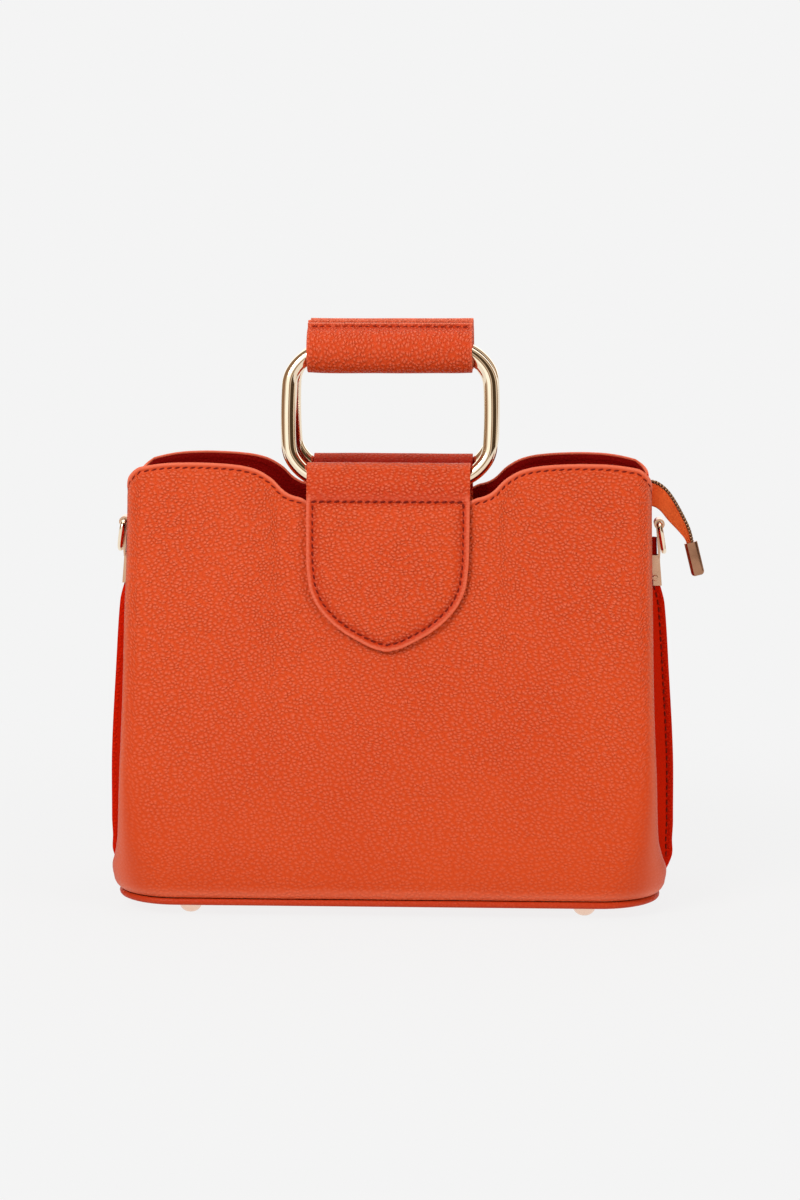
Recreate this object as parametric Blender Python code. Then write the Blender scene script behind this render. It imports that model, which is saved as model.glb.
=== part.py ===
# Structured leather handbag: two scalloped panels, finned gussets, ring handles and a tailed zip.
# Metres. +Z up, -Y the front, origin on the standing plane under the middle of the base.

import math

import bmesh
import bpy
from mathutils import Vector

# Body envelope
MM = 0.001
BAG_HALF_WIDTH = 122.0 * MM
BAG_HALF_DEPTH = 55.0 * MM
TOP_HEIGHT = 200.2 * MM
BASE_CORNER_RADIUS = 28.0 * MM
NOTCH_DEPTH = 18.2 * MM
FIT_GAP = 0.3 * MM

# Leather, board and cloth thicknesses
LEATHER = 1.8 * MM
GUSSET_LEATHER = 1.5 * MM
THIN_LEATHER = 1.0 * MM
STRAP_LEATHER = 1.6 * MM
TAB_LEATHER = 2.2 * MM
LINING = 0.8 * MM
STIFFENER = 1.2 * MM
BOARD = 1.8 * MM

# Gusset
FIN_HALF = 1.5 * MM
GUSSET_CENTRE_DROP = 35.7 * MM
GUSSET_SEAM_DROP = 8.0 * MM
FIN_REACH = 6.4 * MM

# Base and feet
WELT_RADIUS = 1.6 * MM
FOOT_DOME_RADIUS = 5.2 * MM
FOOT_FLAT_RADIUS = 2.6 * MM
FOOT_HEIGHT = 4.2 * MM
FOOT_SHANK_RADIUS = 1.6 * MM
FOOT_SIDE_INSET = 34.0 * MM
FOOT_FACE_INSET = 12.0 * MM
FOOT_DOME_SHARES = ((0.82, 0.28), (0.97, 0.65), (1.0, 1.0))

# Inner parts
STIFFENER_SIDE_INSET = 32.0 * MM
STIFFENER_RISE = 4.9 * MM
STIFFENER_DROP = 2.0 * MM
LINING_DROP = 13.5 * MM

# Handle loops and shield tabs
LOOP_INSET = 7.6 * MM
LOOP_DROP = 8.5 * MM
LOOP_PLAY = 3.825 * MM
LOOP_WALL = 1.4 * MM
TAB_SIDE_GAP = 6.9 * MM
TAB_PUFF = 1.5 * MM
TAB_LENGTH = 65.2 * MM
TAB_INNER_LENGTH = 10.5 * MM
TAB_STITCH_DROP = 16.7 * MM
NOTCH_SIDE_GAP = 0.45 * MM
LOOP_TURN_DEGREES = (248, 278, 308, 338, 8, 38, 68, 98, 128, 158, 184, 206)

# Handle rings and grips
RING_TUBE_RADIUS = 3.375 * MM
RING_HALF_WIDTH = 43.6 * MM
RING_HEIGHT = 58.3 * MM
RING_CORNER_RADIUS = 15.8 * MM
RING_SIDE_BULGE = 0.9 * MM
GRIP_REST_GAP = 2.1 * MM
GRIP_SIDE_GAP = 6.6 * MM
GRIP_RADIUS = 9.8 * MM
GRIP_COVER_WALL = 1.7 * MM
GRIP_FIN_RISE = 3.5 * MM
GRIP_FIN_HALF = 1.9 * MM
GRIP_SLIT_HALF = 0.2 * MM
GRIP_SLIT_DEPTH = 1.6 * MM
GRIP_FIN_OPENING = math.radians(52.0)
GRIP_SHOULDER_SHARES = (1.15, 1.02)
GRIP_FIN_TURNS = (math.radians(30), math.radians(22), math.radians(14), math.radians(6))

# Gusset clamps and D-rings
CLAMP_DROP = 8.0 * MM
CLAMP_LENGTH = 13.8 * MM
CLAMP_WALL = 0.7 * MM
CLAMP_DEPTH = 5.2 * MM
CLAMP_HALF = 2.9 * MM
CLAMP_STRAP_SHARE = 0.9
CLAMP_OVERLAP_SHARE = 0.05
BARREL_START = math.radians(-60.0)
BARREL_SWEEP = math.radians(300.0)
BARREL_INSET = 0.4 * MM
BARREL_RISE = 14.3 * MM
BARREL_RADIUS = 2.4 * MM
BARREL_BORE_RADIUS = 1.5 * MM
BARREL_HALF_LENGTH = 4.5 * MM
SCREW_RISE = 3.5 * MM
SCREW_INSET = 1.75 * MM
SCREW_HEAD_RADIUS = 1.35 * MM
SCREW_HEAD_HEIGHT = 0.8 * MM
SCREW_SHANK_RADIUS = 0.8 * MM
SCREW_SLOT = 0.3 * MM
SCREW_CROWN_SHARE = 0.8
SCREW_EDGE_SHARE = 0.6
WIRE_RADIUS = 1.2 * MM
DRING_HALF_WIDTH = 9.0 * MM
DRING_DROP = 13.0 * MM
DRING_SWING = math.radians(10.0)
DRING_BEND_STEPS = 3
DRING_BOW_STEPS = 8

# Zip
CHAIN_DROP = 23.2 * MM
CHAIN_SIDE_INSET = 28.0 * MM
TOOTH_PITCH = 2.5 * MM
TOOTH_SHARE = 0.44
TOOTH_HALF_THICKNESS = 1.1 * MM
TOOTH_TIP = 0.9 * MM
BEAD_INNER = 2.2 * MM
BEAD_OUTER = 3.1 * MM
TAPE_THICKNESS = 0.6 * MM
FACING_INNER = 12.4 * MM
FACING_SIDE_INSET = 14.0 * MM
FACING_DEPTH = 19.0 * MM
FACING_BEND_INSET = 6.5 * MM

# Zip slider and puller
SLIDER_LENGTH = 10.0 * MM
SLIDER_HALF_HEIGHT = 2.4 * MM
SLIDER_FRONT_HALF = 5.2 * MM
SLIDER_REAR_HALF = 4.6 * MM
SLIDER_CHANNEL_HALF = 3.6 * MM
SLIDER_CHANNEL_HALF_HEIGHT = 1.4 * MM
SLIDER_SLOT_HALF_HEIGHT = 0.6 * MM
SLIDER_POST_HALF = 1.0 * MM
SLIDER_POST_LENGTH = 2.0 * MM
BAIL_HALF = 0.9 * MM
BAIL_HALF_LENGTH = 2.8 * MM
BAIL_WALL = 1.0 * MM
BAIL_HEIGHT = 3.4 * MM
BAIL_SILL = 0.5 * MM
BAIL_BAR_SHARE = 0.9
SLIDER_BODY_SHARES = ((0.0, 0.86), (0.12, 1.0), (0.45, 1.0), (0.9, 0.0), (1.0, -0.3))
CHAMFER_SHARE = 0.35
PULLER_AXIS_RISE = 1.5 * MM
PULLER_LENGTH = 17.0 * MM
PULLER_HALF_WIDTH = 3.0 * MM
PULLER_EYE_HALF = 1.5 * MM
PULLER_EYE_LENGTH = 3.8 * MM
PULLER_HALF_THICKNESS = 0.6 * MM
PULLER_HEAD_SHARE = 0.9
PULLER_SIDE_SHARES = ((0.6, 0.75), (0.86, 1.0), (1.0, 0.5))
PULLER_EYE_SHARES = ((0.5, 1.0), (0.8, 0.98), (0.93, 0.8), (1.0, 0.35))

# Zip tail
TAIL_OUT = 16.0 * MM
TAIL_START_DROP = 18.6 * MM
TAIL_CLEARANCE = 3.9 * MM
TAIL_HALF = 0.9 * MM
TAIL_TOOTH_HALF = 1.3 * MM
TAIL_BEAD = 0.9 * MM
TAIL_TOOTH_RISE = 1.1 * MM
CAP_LENGTH = 15.5 * MM
CAP_HALF = 2.3 * MM
CAP_WIDTH_HALF = 2.5 * MM
CAP_WALL = 0.5 * MM
CAP_POCKET = 3.0 * MM
CAP_END_SHARE = 0.8
TAIL_FOLD_SHARE = 0.12
TAIL_FOLD_HALF_SHARE = 0.6
TAIL_TOOTH_SHARE = 0.55
TOOTH_TAPER_SHARE = 0.12

# Mesh fineness
CORNER_STEPS = 5
TUBE_SIDES = 12
WIRE_SIDES = 8
ROUND_STEPS = 16
SHARP_ANGLE = math.radians(40.0)

# Body stations from base to top: height share, then each size as a share of its driving dimension
STATION_SHARES = (
    (0.0, 1.0, 0.975, 1.0, 0.15),
    (0.022, 1.017, 0.99, 0.985, 0.36),
    (0.05, 1.023, 1.0, 0.93, 0.58),
    (0.09, 1.006, 0.997, 0.7, 0.91),
    (0.137, 0.991, 0.985, 0.48, 1.25),
    (0.295, 0.978, 0.93, 0.25, 1.44),
    (0.52, 0.967, 0.81, 0.22, 1.22),
    (0.73, 0.96, 0.68, 0.21, 0.56),
    (0.85, 0.958, 0.605, 0.21, 0.45),
    (1.0, 0.957, 0.51, 0.21, 0.1),
)
UPPER_ROW_SHARES = (0.5, 1.0)

# Panel top edge: share of the way from the tab to the corner, and share of the notch cut away there
NOTCH_SHARES = (
    (0.0, 0.9),
    (0.03, 0.84),
    (0.07, 0.78),
    (0.13, 0.62),
    (0.2, 0.38),
    (0.3, 0.15),
    (0.4, 0.06),
    (0.53, 0.015),
    (0.87, 0.0),
    (1.0, 0.06),
)
CORNER_NOTCH_SHARES = ((0.33, 0.17), (0.67, 0.29), (1.0, 0.387))

# Shield outline: share of the way down from the stitch line to the tip, and share of the tab's half-width
SHIELD_SHARES = (
    (0.14, 1.0, 0.55),
    (0.38, 1.0, 1.0),
    (0.54, 0.965, 1.0),
    (0.68, 0.875, 1.0),
    (0.79, 0.73, 0.95),
    (0.87, 0.56, 0.8),
    (0.94, 0.33, 0.5),
    (0.985, 0.13, 0.1),
    (1.0, 0.03, 0.0),
)
TAB_COLUMN_SHARES = (-1.0, -0.93, -0.86, -0.45, 0.45, 0.86, 0.93, 1.0)
TAB_COLUMN_PUFF_SHARES = (0.0, 0.0, 0.45, 1.0, 1.0, 0.45, 0.0, 0.0)

# Zip tail: points of the toothed edge and of the folded lower edge, as shares of the reach and the rise
TAIL_EDGE_SHARES = (
    (0.0, 0.64, 0.0, 0.421),
    (0.12, 0.744, 0.13, 0.488),
    (0.27, 0.866, 0.29, 0.555),
    (0.41, 0.942, 0.42, 0.61),
    (0.551, 0.963, 0.55, 0.622),
    (0.621, 0.93, 0.633, 0.57),
    (0.703, 0.838, 0.712, 0.424),
    (0.772, 0.704, 0.766, 0.346),
    (0.829, 0.567, 0.809, 0.284),
    (0.883, 0.421, 0.848, 0.223),
    (0.924, 0.299, 0.879, 0.171),
    (0.947, 0.183, 0.892, 0.137),
    (0.955, 0.122, 0.9, 0.102),
    (0.971, 0.033, 0.917, 0.013),
)
TAIL_OVER_BARREL_SHARE = 0.57

# Places that follow from the sizes above
BASE_PANEL_BOTTOM = FOOT_HEIGHT + FIT_GAP
BASE_HEIGHT = BASE_PANEL_BOTTOM + LEATHER + BOARD
FOOT_X = BAG_HALF_WIDTH - FOOT_SIDE_INSET
FOOT_Y = BAG_HALF_DEPTH - FOOT_FACE_INSET
GUSSET_CENTRE_TOP = TOP_HEIGHT - GUSSET_CENTRE_DROP
GUSSET_SEAM_TOP = TOP_HEIGHT - GUSSET_SEAM_DROP
CHAIN_HEIGHT = TOP_HEIGHT - CHAIN_DROP
CHAIN_LEFT = CHAIN_SIDE_INSET - BAG_HALF_WIDTH
TOOTH_COUNT = round(-2 * CHAIN_LEFT / TOOTH_PITCH) - 1
LINING_TOP = CHAIN_HEIGHT - LINING_DROP
STIFFENER_TOP = LINING_TOP - STIFFENER_DROP
STIFFENER_BOTTOM = BASE_HEIGHT + STIFFENER_RISE
STIFFENER_HALF_WIDTH = BAG_HALF_WIDTH - STIFFENER_SIDE_INSET
FACING_BOTTOM = CHAIN_HEIGHT - FACING_DEPTH
FACING_HALF = BAG_HALF_WIDTH - FACING_SIDE_INSET
LOOP_HEIGHT = TOP_HEIGHT - LOOP_DROP
LOOP_OUTER_RADIUS = RING_TUBE_RADIUS + LOOP_PLAY + LOOP_WALL
TAB_HALF_WIDTH = RING_HALF_WIDTH - TAB_SIDE_GAP
TAB_STITCH_HEIGHT = TOP_HEIGHT - TAB_STITCH_DROP
TAB_BACK_END = TAB_STITCH_HEIGHT - TAB_INNER_LENGTH
GRIP_HALF_LENGTH = RING_HALF_WIDTH - GRIP_SIDE_GAP
GRIP_FIN_TOP = GRIP_RADIUS + GRIP_FIN_RISE
CLAMP_TOP = GUSSET_CENTRE_TOP - CLAMP_DROP
CLAMP_BOTTOM = CLAMP_TOP - CLAMP_LENGTH
SCREW_HEIGHT = CLAMP_BOTTOM + SCREW_RISE
BARREL_HEIGHT = CLAMP_TOP + BARREL_RISE
TAIL_END_X = BAG_HALF_WIDTH + TAIL_OUT
TAIL_LOW = CHAIN_HEIGHT - TAIL_START_DROP
TAIL_OVER = BARREL_HEIGHT + BARREL_RADIUS + TAIL_CLEARANCE
TAIL_RISE = (TAIL_OVER - TAIL_LOW) / TAIL_OVER_BARREL_SHARE


# Curves of the body
def between(rows, share, column):
    """Value of one column of a station list at a share of the height."""
    for low, high in zip(rows, rows[1:]):
        if share <= high[0]:
            part = (share - low[0]) / (high[0] - low[0])
            return low[column] + (high[column] - low[column]) * part
    return rows[-1][column]


def height_share(height):
    return (height - BASE_HEIGHT) / (TOP_HEIGHT - BASE_HEIGHT)


def half_width(height):
    return BAG_HALF_WIDTH * between(STATION_SHARES, height_share(height), 1)


def half_depth(height):
    return BAG_HALF_DEPTH * between(STATION_SHARES, height_share(height), 2)


def corner_radius(height):
    return BASE_CORNER_RADIUS * between(STATION_SHARES, height_share(height), 3)


def fin_ridge(height):
    return half_width(height) + FIN_REACH * between(STATION_SHARES, height_share(height), 4)


def station_heights(low, high):
    """Heights of the stations between two levels, with the levels themselves."""
    rise = TOP_HEIGHT - BASE_HEIGHT
    inside = [BASE_HEIGHT + rise * row[0] for row in STATION_SHARES]
    return [low] + [height for height in inside if low < height < high] + [high]


def row_heights(top):
    """Heights down one column of a wall: fixed rows, then two that follow its own top edge."""
    fixed = station_heights(BASE_HEIGHT, CLAMP_BOTTOM)
    return fixed + [fixed[-1] + (top - fixed[-1]) * share for share in UPPER_ROW_SHARES]


def panel_point(side, flat_share, corner_share, height, inset):
    """Point of a panel's face; the corner share turns it round the side corner."""
    radius = corner_radius(height) - inset
    depth = half_depth(height) - inset
    flat = half_width(height) - inset - radius
    if corner_share == 0:
        return Vector((flat * flat_share, side * depth, height))
    turn = abs(corner_share) * math.pi / 2
    across = flat + radius * math.sin(turn)
    back = depth - radius + radius * math.cos(turn)
    return Vector((math.copysign(across, corner_share), side * back, height))


def rounded_rectangle(half_x, half_y, radius, steps):
    """Outline points, counter-clockwise from above."""
    points = []
    for quarter, (sign_x, sign_y) in enumerate(((1, 1), (-1, 1), (-1, -1), (1, -1))):
        for step in range(steps + 1):
            angle = (quarter + step / steps) * math.pi / 2
            points.append(
                (
                    sign_x * (half_x - radius) + radius * math.cos(angle),
                    sign_y * (half_y - radius) + radius * math.sin(angle),
                )
            )
    return points


def body_loop(inset, height, level=None):
    """Outline of the body at one height, set in by a wall, at its own level."""
    radius = corner_radius(height) - inset
    outline = rounded_rectangle(
        half_width(height) - inset, half_depth(height) - inset, radius, CORNER_STEPS
    )
    at = height if level is None else level
    return [Vector((x, y, at)) for x, y in outline]


# Mesh builders
def add_object(name, points, faces, material, smooth=True):
    mesh = bpy.data.meshes.new(name)
    mesh.from_pydata(points, [], faces)
    work = bmesh.new()
    work.from_mesh(mesh)
    bmesh.ops.recalc_face_normals(work, faces=work.faces)
    work.to_mesh(mesh)
    work.free()
    if smooth:
        mesh.shade_smooth()
        mesh.set_sharp_from_angle(angle=SHARP_ANGLE)
    if material:
        mesh.materials.append(material)
    made = bpy.data.objects.new(name, mesh)
    bpy.context.scene.collection.objects.link(made)
    return made


def stack(name, loops, material, closed=False, smooth=True):
    """Joins equal loops of points in order, with capped ends or closed into a ring."""
    count = len(loops[0])
    points = [point for loop in loops for point in loop]
    faces = []
    joins = len(loops) if closed else len(loops) - 1
    for row in range(joins):
        here = row * count
        there = (row + 1) % len(loops) * count
        for step in range(count):
            after = (step + 1) % count
            faces.append((here + step, here + after, there + after, there + step))
    if not closed:
        faces.append(tuple(range(count))[::-1])
        faces.append(tuple(range((len(loops) - 1) * count, len(loops) * count)))
    return add_object(name, points, faces, material, smooth)


def skin(name, outer, inner, material):
    """Closed sheet between two equal grids of points."""
    rows = len(outer)
    columns = len(outer[0])
    points = [point for row in outer for point in row] + [point for row in inner for point in row]
    offset = rows * columns
    faces = []
    for row in range(rows - 1):
        for column in range(columns - 1):
            a = row * columns + column
            b = a + 1
            c = a + columns + 1
            d = a + columns
            faces.append((a, b, c, d))
            faces.append((a + offset, d + offset, c + offset, b + offset))
    rim = [column for column in range(columns)]
    rim += [row * columns + columns - 1 for row in range(1, rows)]
    rim += [(rows - 1) * columns + column for column in range(columns - 2, -1, -1)]
    rim += [row * columns for row in range(rows - 2, 0, -1)]
    for here, there in zip(rim, rim[1:] + rim[:1]):
        faces.append((here, here + offset, there + offset, there))
    return add_object(name, points, faces, material)


def sweep(name, path, normal, radius, sides, material):
    """Round bar along a closed flat path."""
    loops = []
    for index, point in enumerate(path):
        ahead = path[(index + 1) % len(path)] - path[index - 1]
        side = normal.cross(ahead).normalized()
        loop = []
        for step in range(sides):
            angle = step / sides * math.tau
            loop.append(point + side * radius * math.cos(angle) + normal * radius * math.sin(angle))
        loops.append(loop)
    return stack(name, loops, material, closed=True)


def prism(name, outline, place, near, far, material, smooth=True):
    """Outline of pairs extruded between two levels by a placing function."""
    loops = [[place(a, b, level) for a, b in outline] for level in (near, far)]
    return stack(name, loops, material, smooth=smooth)


def hollow_prism(name, outer, inner, place, near, far, material):
    """Outline with a matching hole, extruded between two levels."""
    loops = [
        [place(a, b, near) for a, b in outer],
        [place(a, b, far) for a, b in outer],
        [place(a, b, far) for a, b in inner],
        [place(a, b, near) for a, b in inner],
    ]
    return stack(name, loops, material, closed=True)


def revolve(name, profile, centre, axis_place, steps, material):
    """Profile of radius and height pairs turned about an axis."""
    loops = []
    for radius, height in profile:
        loops.append(
            [
                axis_place(
                    radius * math.cos(step / steps * math.tau),
                    radius * math.sin(step / steps * math.tau),
                    height,
                )
                + centre
                for step in range(steps)
            ]
        )
    return stack(name, loops, material)


def along_x(y, z, x):
    return Vector((x, y, z))


def along_y(x, z, y):
    return Vector((x, y, z))


def along_z(x, y, z):
    return Vector((x, y, z))


def box_outline(low_a, high_a, low_b, high_b):
    return [(low_a, low_b), (high_a, low_b), (high_a, high_b), (low_a, high_b)]


def chamfered(half_a, half_b, trim):
    """Rectangle about the origin with its corners cut off."""
    return [
        (half_a, half_b - trim), (half_a - trim, half_b), (trim - half_a, half_b),
        (-half_a, half_b - trim), (-half_a, trim - half_b), (trim - half_a, -half_b),
        (half_a - trim, -half_b), (half_a, trim - half_b),
    ]


def helper(made):
    made.hide_render = True
    made.display_type = "WIRE"
    return made


def combine(target, other, operation):
    """Boolean of the target with a hidden helper."""
    helper(other)
    step = target.modifiers.new(operation.title(), "BOOLEAN")
    step.operation = operation
    step.solver = "EXACT"
    step.object = other


# Materials
def finish(name, colour, roughness, metallic):
    made = bpy.data.materials.new(name)
    made.use_nodes = True
    shader = made.node_tree.nodes["Principled BSDF"]
    shader.inputs["Base Color"].default_value = (*colour, 1)
    shader.inputs["Roughness"].default_value = roughness
    shader.inputs["Metallic"].default_value = metallic
    made.diffuse_color = (*colour, 1)
    return made


def orange_leather():
    return finish("orange_leather", (0.66, 0.085, 0.03), 0.5, 0)


def red_leather():
    return finish("red_leather", (0.36, 0.02, 0.01), 0.55, 0)


def pale_gold():
    return finish("pale_gold", (0.83, 0.66, 0.5), 0.15, 1)


def bronze_teeth():
    return finish("bronze_teeth", (0.35, 0.16, 0.08), 0.3, 1)


def woven_tape():
    return finish("woven_tape", (0.62, 0.07, 0.015), 0.85, 0)


def lining_cloth():
    return finish("lining_cloth", (0.3, 0.04, 0.02), 0.9, 0)


def grey_board():
    return finish("grey_board", (0.35, 0.32, 0.29), 0.9, 0)


def soft_foam():
    return finish("soft_foam", (0.75, 0.72, 0.62), 0.95, 0)


# Leather body
def panel_grid(side, inset):
    """Face of a panel, from its left seam round the front to its right seam."""
    flat_top = half_width(TOP_HEIGHT) - corner_radius(TOP_HEIGHT)
    floor = (TAB_HALF_WIDTH + NOTCH_SIDE_GAP) / flat_top
    rises = [(floor + (1 - floor) * share, notch) for share, notch in NOTCH_SHARES]
    columns = [(0, -corner, notch) for corner, notch in reversed(CORNER_NOTCH_SHARES)]
    columns += [(-flat, 0, notch) for flat, notch in reversed(rises)]
    columns.append((0, 0, 1))
    columns += [(flat, 0, notch) for flat, notch in rises]
    columns += [(0, corner, notch) for corner, notch in CORNER_NOTCH_SHARES]
    upright = []
    for flat, corner, notch in columns:
        heights = row_heights(TOP_HEIGHT - NOTCH_DEPTH * notch)
        upright.append([panel_point(side, flat, corner, height, inset) for height in heights])
    return [list(row) for row in zip(*upright)]


def panel(name, side, material):
    return skin(name, panel_grid(side, 0), panel_grid(side, LEATHER), material)


def gusset_top(seam_share):
    return GUSSET_CENTRE_TOP + (GUSSET_SEAM_TOP - GUSSET_CENTRE_TOP) * seam_share**2


def gusset_columns():
    """Columns across a gusset: seam share, side of the fin, and whether it is on the fin."""
    face = (1.0, 0.72, 0.4, 0.15)
    columns = [(-share, -1, 0) for share in face]
    columns += [(0, -1, 0), (0, -1, 1), (0, 1, 1), (0, 1, 0)]
    columns += [(share, 1, 0) for share in reversed(face)]
    return columns


def gusset_row(side, row_index, inset):
    """One row of a gusset, on its outer face or set in by the leather."""
    row = []
    for seam_share, sign, on_fin in gusset_columns():
        height = row_heights(gusset_top(abs(seam_share)))[row_index]
        seam = half_depth(height) - corner_radius(height) - FIT_GAP
        edge = half_width(height)
        ridge = fin_ridge(height)
        fin = min(ridge - edge, CLAMP_DEPTH - FIN_HALF)
        crown = ridge - fin
        if on_fin:
            x = crown if inset else ridge
            y = sign * (FIN_HALF / 4 if inset else FIN_HALF)
        elif seam_share == 0:
            x = crown
            y = sign * (FIN_HALF / 2 if inset else FIN_HALF)
        else:
            x = crown + (edge - crown) * seam_share**2
            y = seam * seam_share + sign * (1 - abs(seam_share)) * FIN_HALF
        row.append(Vector((side * (x - inset), y, height)))
    return row


def gusset(name, side, material):
    rows = range(len(row_heights(GUSSET_SEAM_TOP)))
    outer = [gusset_row(side, row, 0) for row in rows]
    inner = [gusset_row(side, row, GUSSET_LEATHER) for row in rows]
    made = skin(name, outer, inner, material)
    combine(made, screw_hole(f"{name}_hole", side), "DIFFERENCE")
    return made


# Base
def welt(name, material):
    inset = WELT_RADIUS
    level = BASE_HEIGHT - FIT_GAP - WELT_RADIUS
    path = body_loop(inset, BASE_HEIGHT, level)
    return sweep(name, path, Vector((0, 0, 1)), WELT_RADIUS, WIRE_SIDES, material)


def foot_holes(name):
    """Four hidden cutters for the shanks, as one helper."""
    radius = FOOT_SHANK_RADIUS + FIT_GAP
    pins = []
    for sign_x in (-1, 1):
        for sign_y in (-1, 1):
            centre = Vector((sign_x * FOOT_X, sign_y * FOOT_Y, 0))
            pin = revolve(
                f"{name}_{len(pins)}",
                ((radius, 0), (radius, BASE_HEIGHT + BOARD)),
                centre,
                along_z,
                ROUND_STEPS,
                None,
            )
            pins.append(pin)
    return pins


def base_plate(name, inset, bottom, thickness, material):
    loops = [
        body_loop(inset, BASE_HEIGHT, bottom),
        body_loop(inset, BASE_HEIGHT, bottom + thickness),
    ]
    made = stack(name, loops, material)
    for pin in foot_holes(f"{name}_hole"):
        combine(made, pin, "DIFFERENCE")
    return made


def foot(name, sign_x, sign_y, material):
    shank_top = BASE_PANEL_BOTTOM + LEATHER + FIT_GAP + BOARD
    profile = [(FOOT_FLAT_RADIUS, 0)]
    for out_share, up_share in FOOT_DOME_SHARES:
        profile.append((FOOT_DOME_RADIUS * out_share, FOOT_HEIGHT * up_share))
    profile.append((FOOT_SHANK_RADIUS, FOOT_HEIGHT))
    profile.append((FOOT_SHANK_RADIUS, shank_top))
    centre = Vector((sign_x * FOOT_X, sign_y * FOOT_Y, 0))
    return revolve(name, profile, centre, along_z, ROUND_STEPS, material)


# Inner parts
def stiffener(name, side, material):
    inset = LEATHER + FIT_GAP
    loops = []
    for height in station_heights(STIFFENER_BOTTOM, STIFFENER_TOP):
        near = side * (half_depth(height) - inset)
        far = side * (half_depth(height) - inset - STIFFENER)
        width = STIFFENER_HALF_WIDTH
        loops.append([Vector((x, y, height)) for x, y in box_outline(-width, width, near, far)])
    return stack(name, loops, material)


def lining(name, material):
    inset = LEATHER + STIFFENER + FIT_GAP * 2
    floor = BASE_PANEL_BOTTOM + LEATHER + BOARD + FIT_GAP * 2
    outer = [body_loop(inset, height) for height in station_heights(floor, LINING_TOP)]
    deep = inset + LINING
    inner = [body_loop(deep, height) for height in station_heights(floor + LINING, LINING_TOP)]
    return stack(name, outer + inner[::-1], material)


# Shield tabs and handle loops
def loop_y():
    return half_depth(LOOP_HEIGHT) - LOOP_INSET


def tab_rows():
    """Rows of a tab from its sewn inner end, over the handle bar, to the shield's tip.
    Each row is the outer point, the way into the leather, its thickness, width and puff shares."""
    rows = []
    inset = LEATHER + FIT_GAP
    for height in (TAB_BACK_END, TAB_STITCH_HEIGHT - LOOP_WALL):
        y = half_depth(height) - inset - STRAP_LEATHER
        rows.append((y, height, 1, 0, STRAP_LEATHER, 1, 0))
    middle = LOOP_OUTER_RADIUS
    for degrees in LOOP_TURN_DEGREES:
        angle = math.radians(degrees)
        out_y = -math.cos(angle)
        out_z = math.sin(angle)
        y = loop_y() + out_y * middle
        rows.append((y, LOOP_HEIGHT + out_z * middle, -out_y, -out_z, LOOP_WALL, 1, 0))
    y = half_depth(TAB_STITCH_HEIGHT) + FIT_GAP + TAB_LEATHER
    rows.append((y, TAB_STITCH_HEIGHT, -1, 0, TAB_LEATHER, 1, 0))
    for down, width, puff in SHIELD_SHARES:
        height = TAB_STITCH_HEIGHT - TAB_LENGTH * down
        y = half_depth(height) + FIT_GAP + TAB_LEATHER
        rows.append((y, height, -1, 0, TAB_LEATHER, width, puff))
    return rows


def tab(name, side, material):
    outer = []
    inner = []
    for y, z, in_y, in_z, thickness, width, puff in tab_rows():
        outer_row = []
        inner_row = []
        for share, puff_share in zip(TAB_COLUMN_SHARES, TAB_COLUMN_PUFF_SHARES):
            x = TAB_HALF_WIDTH * share * width
            rise = TAB_PUFF * puff * puff_share
            outer_row.append(Vector((x, side * (y - in_y * rise), z - in_z * rise)))
            inner_row.append(Vector((x, side * (y + in_y * thickness), z + in_z * thickness)))
        outer.append(outer_row)
        inner.append(inner_row)
    return skin(name, outer, inner, material)


# Handle rings and grips, built about the loop axis and then leaned inwards
def ring_path():
    points = []
    half = RING_HEIGHT / 2
    outline = rounded_rectangle(RING_HALF_WIDTH, half, RING_CORNER_RADIUS, CORNER_STEPS + 1)
    count = CORNER_STEPS + 2
    ordered = []
    for index, point in enumerate(outline):
        ordered.append(point)
        if index in (2 * count - 1, len(outline) - 1):
            ordered.append((point[0], 0))
    for x, z in ordered:
        bulge = RING_SIDE_BULGE * (1 - (z / half) ** 2) if abs(x) > TAB_HALF_WIDTH else 0
        points.append(Vector((x + math.copysign(bulge, x), 0, z + half)))
    return points


def pose_handle(made, side):
    lean = math.asin((loop_y() - GRIP_RADIUS - GRIP_REST_GAP) / RING_HEIGHT)
    made.location = (0, side * loop_y(), LOOP_HEIGHT)
    made.rotation_euler = (side * lean, 0, 0)


def handle_ring(name, side, material):
    made = sweep(name, ring_path(), Vector((0, 1, 0)), RING_TUBE_RADIUS, TUBE_SIDES, material)
    pose_handle(made, side)
    return made


def grip_core(name, side, material):
    radius = GRIP_RADIUS - GRIP_COVER_WALL - FIT_GAP
    turns = [step / ROUND_STEPS * math.tau for step in range(ROUND_STEPS)]
    outline = [
        (radius * math.cos(turn), RING_HEIGHT + radius * math.sin(turn)) for turn in turns
    ]
    reach = GRIP_HALF_LENGTH - FIT_GAP
    made = prism(name, outline, along_x, -reach, reach, material)
    tunnel = sweep(
        f"{name}_tunnel", ring_path(), Vector((0, 1, 0)), RING_TUBE_RADIUS + FIT_GAP, TUBE_SIDES, None
    )
    pose_handle(tunnel, side)
    pose_handle(made, side)
    combine(made, tunnel, "DIFFERENCE")
    return made


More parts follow.
